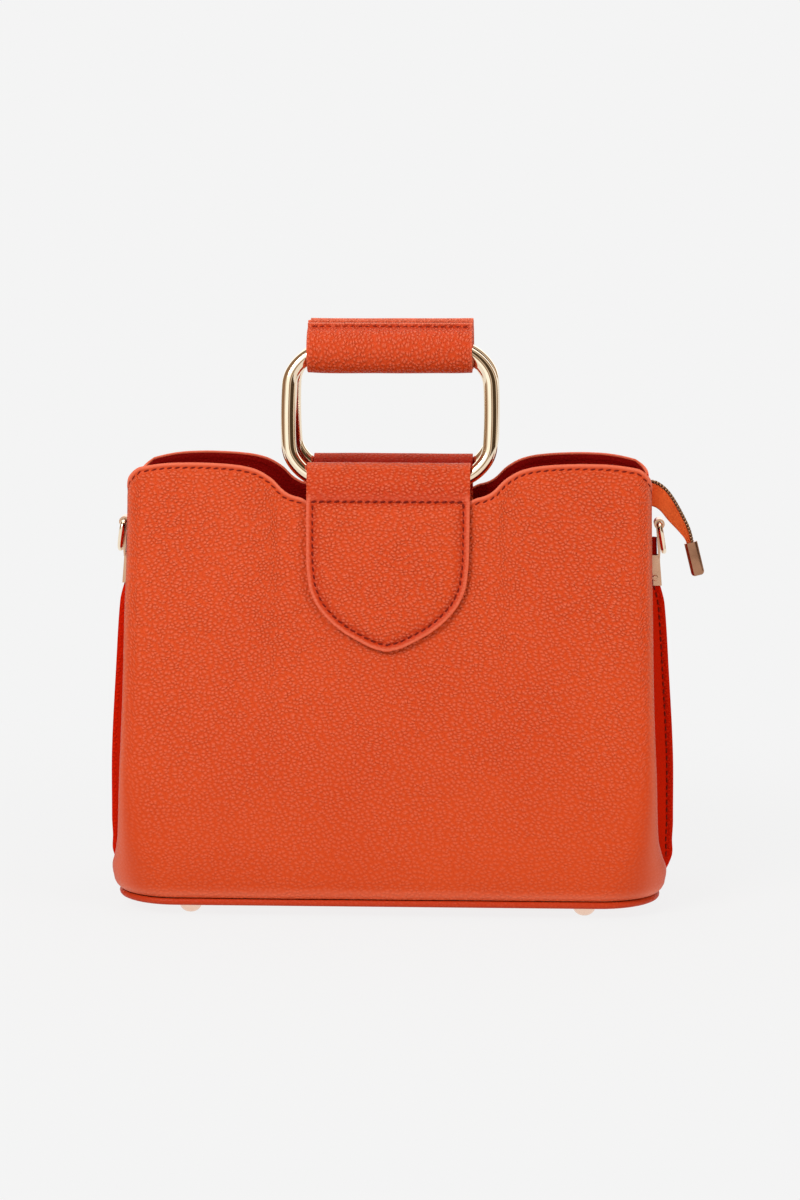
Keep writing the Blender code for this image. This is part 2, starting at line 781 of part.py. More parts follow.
def grip_outlines():
    """Teardrop section with a slit fin, and the round hole inside it, point for point."""
    outer = []
    inner = []
    hole = GRIP_RADIUS - GRIP_COVER_WALL
    top = math.pi / 2
    sweep_angle = math.tau - 2 * GRIP_FIN_OPENING
    for step in range(ROUND_STEPS + 1):
        angle = top + GRIP_FIN_OPENING + sweep_angle * step / ROUND_STEPS
        outer.append((GRIP_RADIUS * math.cos(angle), RING_HEIGHT + GRIP_RADIUS * math.sin(angle)))
        inner.append((hole * math.cos(angle), RING_HEIGHT + hole * math.sin(angle)))
    wide_share, tall_share = GRIP_SHOULDER_SHARES
    corners = (
        (GRIP_FIN_HALF * wide_share, GRIP_RADIUS * tall_share),
        (GRIP_FIN_HALF, GRIP_FIN_TOP),
        (GRIP_SLIT_HALF, GRIP_FIN_TOP),
        (GRIP_SLIT_HALF, GRIP_FIN_TOP - GRIP_SLIT_DEPTH),
    )
    fin = list(zip(corners, GRIP_FIN_TURNS))
    for sign, half in ((1, fin), (-1, fin[::-1])):
        for (across, up), turn in half:
            angle = top - sign * turn
            outer.append((sign * across, RING_HEIGHT + up))
            inner.append((hole * math.cos(angle), RING_HEIGHT + hole * math.sin(angle)))
    return outer, inner


def grip_cover(name, side, material):
    outer, inner = grip_outlines()
    made = hollow_prism(name, outer, inner, along_x, -GRIP_HALF_LENGTH, GRIP_HALF_LENGTH, material)
    pose_handle(made, side)
    return made


# Gusset clamps, screws and D-rings
def clamp_face(height):
    """Outer face of a clamp, which follows the fin straight between the gusset's rows."""
    rows = row_heights(GUSSET_CENTRE_TOP)
    low, high = next(pair for pair in zip(rows, rows[1:]) if height <= pair[1])
    share = (height - low) / (high - low)
    ridge = fin_ridge(low) + (fin_ridge(high) - fin_ridge(low)) * share
    return ridge + FIT_GAP + CLAMP_WALL


def clamp_heights():
    rows = row_heights(GUSSET_CENTRE_TOP)
    inside = [height for height in rows if CLAMP_BOTTOM < height < CLAMP_TOP]
    return [CLAMP_BOTTOM] + inside + [CLAMP_TOP]


def barrel_x():
    return clamp_face(CLAMP_TOP) - BARREL_INSET


def screw_x():
    return clamp_face(SCREW_HEIGHT) - CLAMP_WALL - FIT_GAP - SCREW_INSET


def screw_hole(name, side):
    radius = SCREW_SHANK_RADIUS + FIT_GAP
    centre = Vector((side * screw_x(), 0, SCREW_HEIGHT))
    reach = CLAMP_HALF * 2
    return revolve(name, ((radius, -reach), (radius, reach)), centre, along_y, ROUND_STEPS, None)


def clamp_channel(name, side, material):
    loops = []
    inside = FIN_HALF + FIT_GAP
    for height in clamp_heights():
        face = clamp_face(height)
        open_x = face - CLAMP_WALL - CLAMP_DEPTH + FIN_HALF + FIT_GAP * 2
        wall_x = face - CLAMP_WALL
        outline = (
            (open_x, CLAMP_HALF),
            (face, CLAMP_HALF),
            (face, -CLAMP_HALF),
            (open_x, -CLAMP_HALF),
            (open_x, -inside),
            (wall_x, -inside),
            (wall_x, inside),
            (open_x, inside),
        )
        loops.append([Vector((side * x, y, height)) for x, y in outline])
    return stack(name, loops, material)


def clamp(name, side, material):
    made = clamp_channel(name, side, material)
    low = CLAMP_TOP - CLAMP_WALL * 2
    thin = CLAMP_WALL * CLAMP_STRAP_SHARE
    base = clamp_face(low) - CLAMP_WALL * CLAMP_OVERLAP_SHARE
    turns = [BARREL_START + BARREL_SWEEP * step / ROUND_STEPS for step in range(ROUND_STEPS + 1)]
    outline = [
        (barrel_x() + BARREL_RADIUS * math.cos(turn), BARREL_HEIGHT + BARREL_RADIUS * math.sin(turn))
        for turn in turns
    ]
    outline += [(base - thin, low), (base, low)]
    strap = prism(
        f"{name}_strap",
        [(side * x, z) for x, z in outline],
        along_y,
        -BARREL_HALF_LENGTH,
        BARREL_HALF_LENGTH,
        material,
    )
    combine(made, strap, "UNION")
    reach = BARREL_HALF_LENGTH * 2
    profile = ((BARREL_BORE_RADIUS, -reach), (BARREL_BORE_RADIUS, reach))
    axis = Vector((side * barrel_x(), 0, BARREL_HEIGHT))
    combine(made, revolve(f"{name}_bore", profile, axis, along_y, ROUND_STEPS, None), "DIFFERENCE")
    combine(made, screw_hole(f"{name}_screw_hole", side), "DIFFERENCE")
    return made


def clamp_screw(name, side, material):
    seat = CLAMP_HALF + FIT_GAP
    profile = (
        (SCREW_HEAD_RADIUS * SCREW_CROWN_SHARE, -seat - SCREW_HEAD_HEIGHT),
        (SCREW_HEAD_RADIUS, -seat - SCREW_HEAD_HEIGHT * SCREW_EDGE_SHARE),
        (SCREW_HEAD_RADIUS, -seat),
        (SCREW_SHANK_RADIUS, -seat),
        (SCREW_SHANK_RADIUS, CLAMP_HALF),
    )
    centre = Vector((side * screw_x(), 0, SCREW_HEIGHT))
    made = revolve(name, profile, centre, along_y, ROUND_STEPS, material)
    middle = side * screw_x()
    reach = SCREW_HEAD_RADIUS * 2
    outline = box_outline(
        middle - reach, middle + reach, SCREW_HEIGHT - SCREW_SLOT, SCREW_HEIGHT + SCREW_SLOT
    )
    far = -seat - SCREW_HEAD_HEIGHT * 2
    floor = -seat - SCREW_HEAD_HEIGHT / 2
    slot = prism(f"{name}_slot", outline, along_y, far, floor, None, smooth=False)
    combine(made, slot, "DIFFERENCE")
    return made


def d_ring(name, side, material):
    """Straight bar through the barrel and a bow hanging below it, about the bar's axis."""
    bend = WIRE_RADIUS * 2
    corner = DRING_HALF_WIDTH - bend
    points = []
    for step in range(DRING_BEND_STEPS + 1):
        angle = math.pi / 2 * (1 - step / DRING_BEND_STEPS)
        points.append((corner + bend * math.cos(angle), bend * math.sin(angle)))
    for step in range(1, DRING_BOW_STEPS):
        angle = -math.pi * step / DRING_BOW_STEPS
        points.append((DRING_HALF_WIDTH * math.cos(angle), (DRING_DROP - bend) * math.sin(angle)))
    for step in range(DRING_BEND_STEPS + 1):
        angle = math.pi - math.pi / 2 * step / DRING_BEND_STEPS
        points.append((-corner + bend * math.cos(angle), bend * math.sin(angle)))
    path = [Vector((0, y, z - bend)) for y, z in points]
    made = sweep(name, path, Vector((1, 0, 0)), WIRE_RADIUS, WIRE_SIDES, material)
    made.location = (side * barrel_x(), 0, BARREL_HEIGHT)
    made.rotation_euler = (0, -side * DRING_SWING, 0)
    return made


# Zip
def facing(name, side, material):
    """Leather strip sewn inside the mouth, turned in to carry the tape."""
    inset = LEATHER + STIFFENER + LINING + FIT_GAP * 3
    heights = (FACING_BOTTOM, LINING_TOP - LEATHER, CHAIN_HEIGHT - LEATHER)
    profile = [(half_depth(height) - inset, height) for height in heights]
    level = CHAIN_HEIGHT + THIN_LEATHER / 2
    bend = half_depth(CHAIN_HEIGHT) - FACING_BEND_INSET
    profile += [(bend, level), (FACING_INNER, level)]
    outer = []
    inner = []
    for index, (y, z) in enumerate(profile):
        turned = index > 2
        inner_y = y if turned else y - THIN_LEATHER
        inner_z = z - THIN_LEATHER if turned else z
        if index == 3:
            inner_y = y - THIN_LEATHER / 2
        outer.append([Vector((x, side * y, z)) for x in (-FACING_HALF, FACING_HALF)])
        inner.append([Vector((x, side * inner_y, inner_z)) for x in (-FACING_HALF, FACING_HALF)])
    return skin(name, outer, inner, material)


def zip_tape(name, side, material):
    low = CHAIN_HEIGHT - TAPE_THICKNESS / 2
    high = CHAIN_HEIGHT + TAPE_THICKNESS / 2
    near = BEAD_OUTER + FIT_GAP
    far = FACING_INNER - FIT_GAP
    outline = box_outline(side * near, side * far, low, high)
    return prism(name, outline, along_x, -FACING_HALF, chain_end(), material)


def chain_end():
    """Right face of the last tooth of the back row."""
    return CHAIN_LEFT + TOOTH_PITCH * (TOOTH_COUNT + 0.5 - (1 - TOOTH_SHARE) / 2)


def comb(name, place, start, count, pitch, tooth_share, root, bead, tip, half, material):
    """Cord with a row of teeth; place turns run, reach and level into a point."""
    points = []
    faces = []

    def corner(run, reach):
        points.append(place(run, reach, -half))
        points.append(place(run, reach, half))
        return len(points) - 2

    def wall(a, b):
        faces.append((a, b, b + 1, a + 1))

    def cap(corners):
        faces.append(tuple(corners))
        faces.append(tuple(c + 1 for c in reversed(corners)))

    back = corner(start, bead)
    front = corner(start, root)
    wall(back, front)
    for index in range(count):
        run = start + pitch * index
        near = run + pitch * (1 - tooth_share) / 2
        far = near + pitch * tooth_share
        taper = pitch * tooth_share * TOOTH_TAPER_SHARE
        tooth = (
            corner(near, root),
            corner(near + taper, tip),
            corner(far - taper, tip),
            corner(far, root),
        )
        next_front = corner(run + pitch, root)
        next_back = corner(run + pitch, bead)
        cap((back, front, tooth[0], tooth[3], next_front, next_back))
        cap(tooth)
        wall(front, tooth[0])
        for a, b in zip(tooth, tooth[1:]):
            wall(a, b)
        wall(tooth[3], next_front)
        wall(next_back, back)
        back = next_back
        front = next_front
    wall(front, back)
    return add_object(name, points, faces, material, smooth=False)


def zip_teeth(name, side, material):
    def place(run, reach, level):
        return Vector((run, side * reach, CHAIN_HEIGHT + level))

    start = CHAIN_LEFT + (TOOTH_PITCH / 2 if side > 0 else 0)
    return comb(
        name, place, start, TOOTH_COUNT, TOOTH_PITCH, TOOTH_SHARE, BEAD_INNER, BEAD_OUTER,
        -TOOTH_TIP, TOOTH_HALF_THICKNESS, material,
    )


def slider_centre():
    return CHAIN_LEFT + SLIDER_LENGTH / 2 - SLIDER_POST_LENGTH - FIT_GAP * 2


def slider(name, material):
    """Wedge body with a toothed-chain channel, tape slots, a dividing post and a bail."""
    left = slider_centre() - SLIDER_LENGTH / 2
    tall = SLIDER_HALF_HEIGHT
    chamfer = tall * CHAMFER_SHARE
    loops = []
    for share, width_share in SLIDER_BODY_SHARES:
        half = SLIDER_REAR_HALF + (SLIDER_FRONT_HALF - SLIDER_REAR_HALF) * width_share
        x = left + SLIDER_LENGTH * share
        corners = chamfered(half, tall, chamfer)
        loops.append([Vector((x, y, CHAIN_HEIGHT + z)) for y, z in corners])
    made = stack(name, loops, material)
    channel = SLIDER_CHANNEL_HALF_HEIGHT
    slot = SLIDER_SLOT_HALF_HEIGHT
    wide = SLIDER_FRONT_HALF * 2
    post_end = left + SLIDER_POST_LENGTH
    near = SLIDER_CHANNEL_HALF
    cross = (
        (near, channel), (-near, channel), (-near, slot), (-wide, slot), (-wide, -slot),
        (-near, -slot), (-near, -channel), (near, -channel), (near, -slot), (wide, -slot),
        (wide, slot), (near, slot),
    )
    cut = prism(
        f"{name}_channel",
        [(y, CHAIN_HEIGHT + z) for y, z in cross],
        along_x, post_end, left + SLIDER_LENGTH * 2, None,
    )
    combine(made, cut, "DIFFERENCE")
    for side in (-1, 1):
        half_cross = (
            (SLIDER_POST_HALF, channel), (near, channel), (near, slot), (wide, slot),
            (wide, -slot), (near, -slot), (near, -channel), (SLIDER_POST_HALF, -channel),
        )
        cut = prism(
            f"{name}_mouth_{side + 1}",
            [(side * y, CHAIN_HEIGHT + z) for y, z in half_cross],
            along_x, left - SLIDER_LENGTH, post_end + FIT_GAP, None,
        )
        combine(made, cut, "DIFFERENCE")
    axis_x = slider_centre()
    top = CHAIN_HEIGHT + tall
    outer = box_outline(
        axis_x - BAIL_HALF_LENGTH, axis_x + BAIL_HALF_LENGTH, top - BAIL_SILL, top + BAIL_HEIGHT
    )
    inner = box_outline(
        axis_x - BAIL_HALF_LENGTH + BAIL_WALL, axis_x + BAIL_HALF_LENGTH - BAIL_WALL,
        top + BAIL_SILL, top + BAIL_HEIGHT - BAIL_WALL * BAIL_BAR_SHARE,
    )
    bail = hollow_prism(f"{name}_bail", outer, inner, along_y, -BAIL_HALF, BAIL_HALF, material)
    combine(made, bail, "UNION")
    return made


def puller(name, material):
    """Flat tag with an eye round the bail's bar, built about its hinge axis."""
    bar = PULLER_HALF_THICKNESS
    wide = PULLER_HALF_WIDTH
    eye_end = -bar - PULLER_EYE_LENGTH
    eye = PULLER_EYE_HALF
    half_outer = [(bar, wide * PULLER_HEAD_SHARE), (eye_end, wide)]
    for along_share, wide_share in PULLER_SIDE_SHARES:
        half_outer.append((-PULLER_LENGTH * along_share, wide * wide_share))
    half_inner = [(-bar, eye)]
    for along_share, wide_share in PULLER_EYE_SHARES:
        half_inner.append((eye_end * along_share, eye * wide_share))
    outer = half_outer + [(x, -y) for x, y in reversed(half_outer)]
    inner = half_inner + [(x, -y) for x, y in reversed(half_inner)]
    made = hollow_prism(name, outer, inner, along_z, -bar, bar, material)
    made.location = (slider_centre(), 0, CHAIN_HEIGHT + SLIDER_HALF_HEIGHT + PULLER_AXIS_RISE)
    return made


# Zip tail
def tail_edges():
    """Toothed upper edge and folded lower edge of the tail, as two lists of points."""
    start = chain_end() + FIT_GAP
    reach = TAIL_END_X - start
    upper = []
    lower = []
    for upper_x, upper_z, lower_x, lower_z in TAIL_EDGE_SHARES:
        upper.append(Vector((start + reach * upper_x, 0, TAIL_LOW + TAIL_RISE * upper_z)))
        lower.append(Vector((start + reach * lower_x, 0, TAIL_LOW + TAIL_RISE * lower_z)))
    return upper, lower


def path_normal(path, index):
    """Outward normal of an open path in the XZ plane at one of its points."""
    ahead = path[min(index + 1, len(path) - 1)] - path[max(index - 1, 0)]
    return Vector((-ahead.z, 0, ahead.x)).normalized()


def tail_tape(name, material):
    upper, lower = tail_edges()
    near = []
    far = []
    for index, (high, low) in enumerate(zip(upper, lower)):
        edge = high - path_normal(upper, index) * (TAIL_BEAD + FIT_GAP)
        points = (low, low + (edge - low) * TAIL_FOLD_SHARE, edge)
        halves = (TAIL_HALF * TAIL_FOLD_HALF_SHARE, TAIL_HALF, TAIL_HALF)
        near.append([point + Vector((0, -half, 0)) for point, half in zip(points, halves)])
        far.append([point + Vector((0, half, 0)) for point, half in zip(points, halves)])
    return skin(name, near, far, material)


def path_frame(path, run):
    """Point and outward normal at a length along an open path in the XZ plane."""
    left = run
    for here, there in zip(path, path[1:]):
        step = (there - here).length
        if left <= step:
            break
        left -= step
    index = path.index(here)
    share = min(left / step, 1)
    normal = path_normal(path, index).lerp(path_normal(path, index + 1), share)
    return here.lerp(there, share), normal.normalized()


def tail_teeth(name, material):
    upper, _ = tail_edges()
    length = sum((b - a).length for a, b in zip(upper, upper[1:]))
    count = int(length / TOOTH_PITCH)

    def place(run, reach, level):
        point, normal = path_frame(upper, min(run, length))
        return point - normal * reach + Vector((0, level, 0))

    return comb(
        name, place, 0, count, length / count, TAIL_TOOTH_SHARE, 0, TAIL_BEAD,
        -TAIL_TOOTH_RISE, TAIL_TOOTH_HALF, material,
    )


def end_cap(name, material):
    """Metal cap with a pocket that holds the end of the tail."""
    upper, lower = tail_edges()
    down = (upper[-1] - upper[-2]).normalized()
    across = Vector((-down.z, 0, down.x))
    middle = (upper[-1] + lower[-1]) / 2 - down * CAP_POCKET + across * TAIL_TOOTH_RISE / 2

    def loop(along, half_across, half_deep):
        centre = middle + down * along
        trim = min(half_across, half_deep) * CHAMFER_SHARE
        corners = chamfered(half_across, half_deep, trim)
        return [centre + across * a + Vector((0, b, 0)) for a, b in corners]

    wide = CAP_WIDTH_HALF
    deep = CAP_HALF
    floor = CAP_POCKET + FIT_GAP * 2
    loops = [
        loop(CAP_LENGTH, wide * CAP_END_SHARE, deep * CAP_END_SHARE),
        loop(CAP_LENGTH - CAP_WALL, wide, deep),
        loop(0, wide, deep),
        loop(0, wide - CAP_WALL, deep - CAP_WALL),
        loop(floor, wide - CAP_WALL, deep - CAP_WALL),
    ]
    return stack(name, loops, material)


# Assembly
def clear_scene():
    for old in list(bpy.data.objects):
        bpy.data.objects.remove(old)


def build_body(leather, red, board, cloth):
    for side, place in ((-1, "front"), (1, "back")):
        panel(f"{place}_panel", side, leather)
        stiffener(f"{place}_stiffener", side, board)
        tab(f"{place}_tab", side, leather)
    for side, place in ((-1, "left"), (1, "right")):
        gusset(f"{place}_gusset", side, red)
    lining("lining", cloth)
    welt("base_welt", leather)
    base_plate("base_panel", WELT_RADIUS * 2 + FIT_GAP, BASE_PANEL_BOTTOM, LEATHER, leather)
    board_bottom = BASE_PANEL_BOTTOM + LEATHER + FIT_GAP
    base_plate("base_board", WELT_RADIUS * 2 + FIT_GAP, board_bottom, BOARD, board)


def build_hardware(leather, gold, foam):
    for sign_x, across in ((-1, "left"), (1, "right")):
        for sign_y, place in ((-1, "front"), (1, "back")):
            foot(f"foot_{place}_{across}", sign_x, sign_y, gold)
        clamp(f"{across}_clamp", sign_x, gold)
        clamp_screw(f"{across}_clamp_screw", sign_x, gold)
        d_ring(f"{across}_d_ring", sign_x, gold)
    for side, place in ((-1, "front"), (1, "back")):
        handle_ring(f"{place}_handle_ring", side, gold)
        grip_core(f"{place}_grip_core", side, foam)
        grip_cover(f"{place}_grip_cover", side, leather)


def build_zip(red, gold, teeth, tape):
    for side, place in ((-1, "front"), (1, "back")):
        facing(f"{place}_zip_facing", side, red)
        zip_tape(f"{place}_zip_tape", side, tape)
        zip_teeth(f"{place}_zip_teeth", side, teeth)
    slider("zip_slider", gold)
    puller("zip_puller", gold)
    tail_tape("zip_tail_tape", tape)
    tail_teeth("zip_tail_teeth", teeth)
    end_cap("zip_end_cap", gold)


def main():
    clear_scene()
    leather = orange_leather()
    red = red_leather()
    gold = pale_gold()
    build_body(leather, red, grey_board(), lining_cloth())
    build_hardware(leather, gold, soft_foam())
    build_zip(red, gold, bronze_teeth(), woven_tape())


main()
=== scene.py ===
"""Structured leather handbag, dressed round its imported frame. Metres, +Z up, -Y the front."""

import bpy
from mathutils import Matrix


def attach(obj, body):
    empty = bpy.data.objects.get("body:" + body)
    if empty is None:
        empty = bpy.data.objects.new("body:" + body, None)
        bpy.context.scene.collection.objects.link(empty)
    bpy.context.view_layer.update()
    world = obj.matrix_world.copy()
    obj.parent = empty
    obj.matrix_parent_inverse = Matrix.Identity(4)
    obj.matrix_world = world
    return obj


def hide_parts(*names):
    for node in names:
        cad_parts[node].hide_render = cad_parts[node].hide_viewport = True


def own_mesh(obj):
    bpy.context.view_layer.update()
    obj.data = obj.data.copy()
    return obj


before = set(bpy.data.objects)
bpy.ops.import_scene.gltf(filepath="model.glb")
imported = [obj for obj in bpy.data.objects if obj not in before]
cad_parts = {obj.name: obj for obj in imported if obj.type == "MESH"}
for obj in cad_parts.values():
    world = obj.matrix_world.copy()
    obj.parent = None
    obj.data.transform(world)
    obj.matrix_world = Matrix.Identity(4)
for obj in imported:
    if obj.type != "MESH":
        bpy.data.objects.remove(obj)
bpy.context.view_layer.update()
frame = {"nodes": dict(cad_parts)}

import logging
import math
from dataclasses import dataclass
from enum import Enum
from typing import Any, Callable, Sequence

import bmesh
import bpy
import numpy as np
from mathutils import Matrix, Vector

MM = 0.001
NUDGE = 0.1 * MM
CLOSE = 1e-6
STITCH_SLANT = 0.22
EDGE_ANGLE = math.radians(55)
LOG = logging.getLogger("handbag")
Array = np.ndarray
Colour = tuple[float, float, float]
Point = tuple[float, float, float]
Table = tuple[tuple[float, ...], ...]
Piece = bpy.types.Object
Nodes = dict[str, Piece]


class Signed(Enum):
    """Direction of the bag whose value is its sign."""

    @property
    def word(self) -> str:
        """Name used in pieces."""
        return self.name.lower()


class Side(Signed):
    """Face of the bag, as the sign of Y."""

    FRONT = -1
    BACK = 1


class Hand(Signed):
    """End of the bag, as the sign of X."""

    LEFT = -1
    RIGHT = 1


class Body(Enum):
    """Bodies of the frame that dressed pieces ride."""

    BAG = "bag_body"
    FRONT_HANDLE = "front_handle"
    BACK_HANDLE = "back_handle"
    LEFT_RING = "left_ring"
    RIGHT_RING = "right_ring"


# ---------------------------------------------------------------- numbers


def smooth_values(places: Sequence[float], values: Sequence[float], at: Array) -> Array:
    """Monotone cubic through a table.

    Args:
        places: rising table places.
        values: value at each place.
        at: where to read the curve.

    Returns:
        The curve's values, held at both ends.
    """
    x, y = np.asarray(places, float), np.asarray(values, float)
    at = np.clip(np.asarray(at, float), x[0], x[-1])
    step, rise = np.diff(x), np.diff(y) / np.diff(x)
    slope = np.empty_like(y)
    slope[0], slope[-1] = rise[0], rise[-1]
    same = rise[:-1] * rise[1:] > 0
    total = rise[:-1] + rise[1:]
    slope[1:-1] = np.where(same, 2 * rise[:-1] * rise[1:] / np.where(same, total, 1), 0)
    low = np.clip(np.searchsorted(x, at, side="right") - 1, 0, len(step) - 1)
    t = (at - x[low]) / step[low]
    held = y[low] * (1 + 2 * t) * (1 - t) ** 2 + y[low + 1] * t**2 * (3 - 2 * t)
    return held + step[low] * (slope[low] * t * (1 - t) ** 2 + slope[low + 1] * t**2 * (t - 1))


def read_table(table: Table, at: Array, column: int = 1) -> Array:
    """Smoothed column of a table whose first column holds the places."""
    rows = np.array(table, float)
    return smooth_values(rows[:, 0], rows[:, column], at)


def unit(vectors: Array) -> Array:
    """Vectors scaled to length one."""
    return vectors / np.maximum(np.linalg.norm(vectors, axis=-1, keepdims=True), 1e-12)


def stacked(*parts: Array) -> Array:
    """Coordinates brought to one shape and joined along a new last axis."""
    return np.stack(np.broadcast_arrays(*parts), -1)


def face_normals(points: Array) -> Array:
    """Unit normals of a grid of points, columns crossed with rows."""
    return unit(np.cross(np.gradient(points, axis=1), np.gradient(points, axis=0)))


def grid_normals(points: Array, outward: Array) -> Array:
    """Normals of a grid of points, turned to agree with an outward direction.

    Args:
        points: grid as rows, columns, 3.
        outward: outward directions, of the same shape or one that broadcasts to it.

    Returns:
        Unit normals of the same shape.
    """
    normals = face_normals(points)
    return normals if np.sum(normals * outward) >= 0 else -normals


def bell(distance: Array, width: float) -> Array:
    """Rounded hump of height one about zero."""
    return np.exp(-((distance / width) ** 2))


def humps(distance: Array, table: Table) -> Array:
    """Sum of rounded humps, each given by its place, height and width."""
    return sum(height * bell(distance - place, width) for place, height, width in table)


def soft_waves(points: Array, length: float, height: float, turn: float = 0.0) -> Array:
    """Slow unevenness of a soft skin.

    Args:
        points: positions, last axis 3.
        length: wave length in metres.
        height: greatest rise in metres.
        turn: phase that sets one piece's waves apart from another's.

    Returns:
        Rise at each point.
    """
    x, y, z = (points[..., i] * math.tau / length for i in range(3))
    waves = np.sin(x + 0.7 * z + turn) * np.cos(0.8 * z - 0.5 * x + 2 * turn)
    return height * 0.5 * (waves + np.sin(0.43 * x - 1.3 * z + 1.7 * y + 3 * turn))


def smooth_path(points: Array, rounds: int) -> Array:
    """Corner cutting of an open path, with its ends kept.

    Args:
        points: points of the path, one a row.
        rounds: how many times the corners are cut.

    Returns:
        The smoother path.
    """
    for _ in range(rounds):
        here, following = points[:-1], points[1:]
        cut = np.stack([0.75 * here + 0.25 * following, 0.25 * here + 0.75 * following], 1)
        points = np.vstack([points[:1], cut.reshape(-1, points.shape[1]), points[-1:]])
    return points


def run_along(path: Array) -> Array:
    """Distance from the start at each point of a path."""
    return np.concatenate([[0], np.cumsum(np.linalg.norm(np.diff(path[:, :3], axis=0), axis=1))])


def read_path(path: Array, at: Array) -> Array:
    """Every column of a path at distances along it."""
    run = run_along(path)
    return np.stack([np.interp(at, run, column) for column in path.T], 1)


def resampled(path: Array, count: int) -> Array:
    """The same path as evenly spread points."""
    return read_path(path, np.linspace(0, run_along(path)[-1], count))


def even_steps(path: Array, pitch: float, closed: bool = False) -> tuple[Array, Array]:
    """Places at an even pitch along a path.

    Args:
        path: points of the path, any number of columns after the first three.
        pitch: distance wanted between places.
        closed: whether the path returns to its start.

    Returns:
        The places, with their extra columns, and the unit directions there.
    """
    if closed:
        path = np.vstack([path, path[:1]])
    length = run_along(path)[-1]
    count = max(2, round(length / pitch))
    at = (np.arange(count) + 0.5) * length / count
    ahead, behind = (read_path(path, at + step)[:, :3] for step in (NUDGE, -NUDGE))
    return read_path(path, at), unit(ahead - behind)


def rounded_outline(
    across: float, deep: float, radius: float, steps: int, runs: Sequence[int] = (0, 0, 0, 0)
) -> Array:
    """Rounded rectangle, anticlockwise from the right-hand end of its first corner.

    Args:
        across: half width between the corners' centres.
        deep: half depth between the corners' centres.
        radius: corner radius.
        steps: points of each corner.
        runs: points of the straight after each corner, with its two ends counted.

    Returns:
        Points as x, y.
    """
    arcs = []
    for quarter, (sign_x, sign_y) in enumerate(((1, 1), (-1, 1), (-1, -1), (1, -1))):
        turn = (quarter + np.linspace(0, 1, steps)) * math.pi / 2
        arcs.append(stacked(sign_x * across + radius * np.cos(turn), sign_y * deep + radius * np.sin(turn)))
    parts = []
    for arc, following, count in zip(arcs, arcs[1:] + arcs[:1], runs):
        parts += [arc, np.linspace(arc[-1], following[0], count)[1:-1]]
    return np.vstack(parts)


# ---------------------------------------------------------------- mesh bench


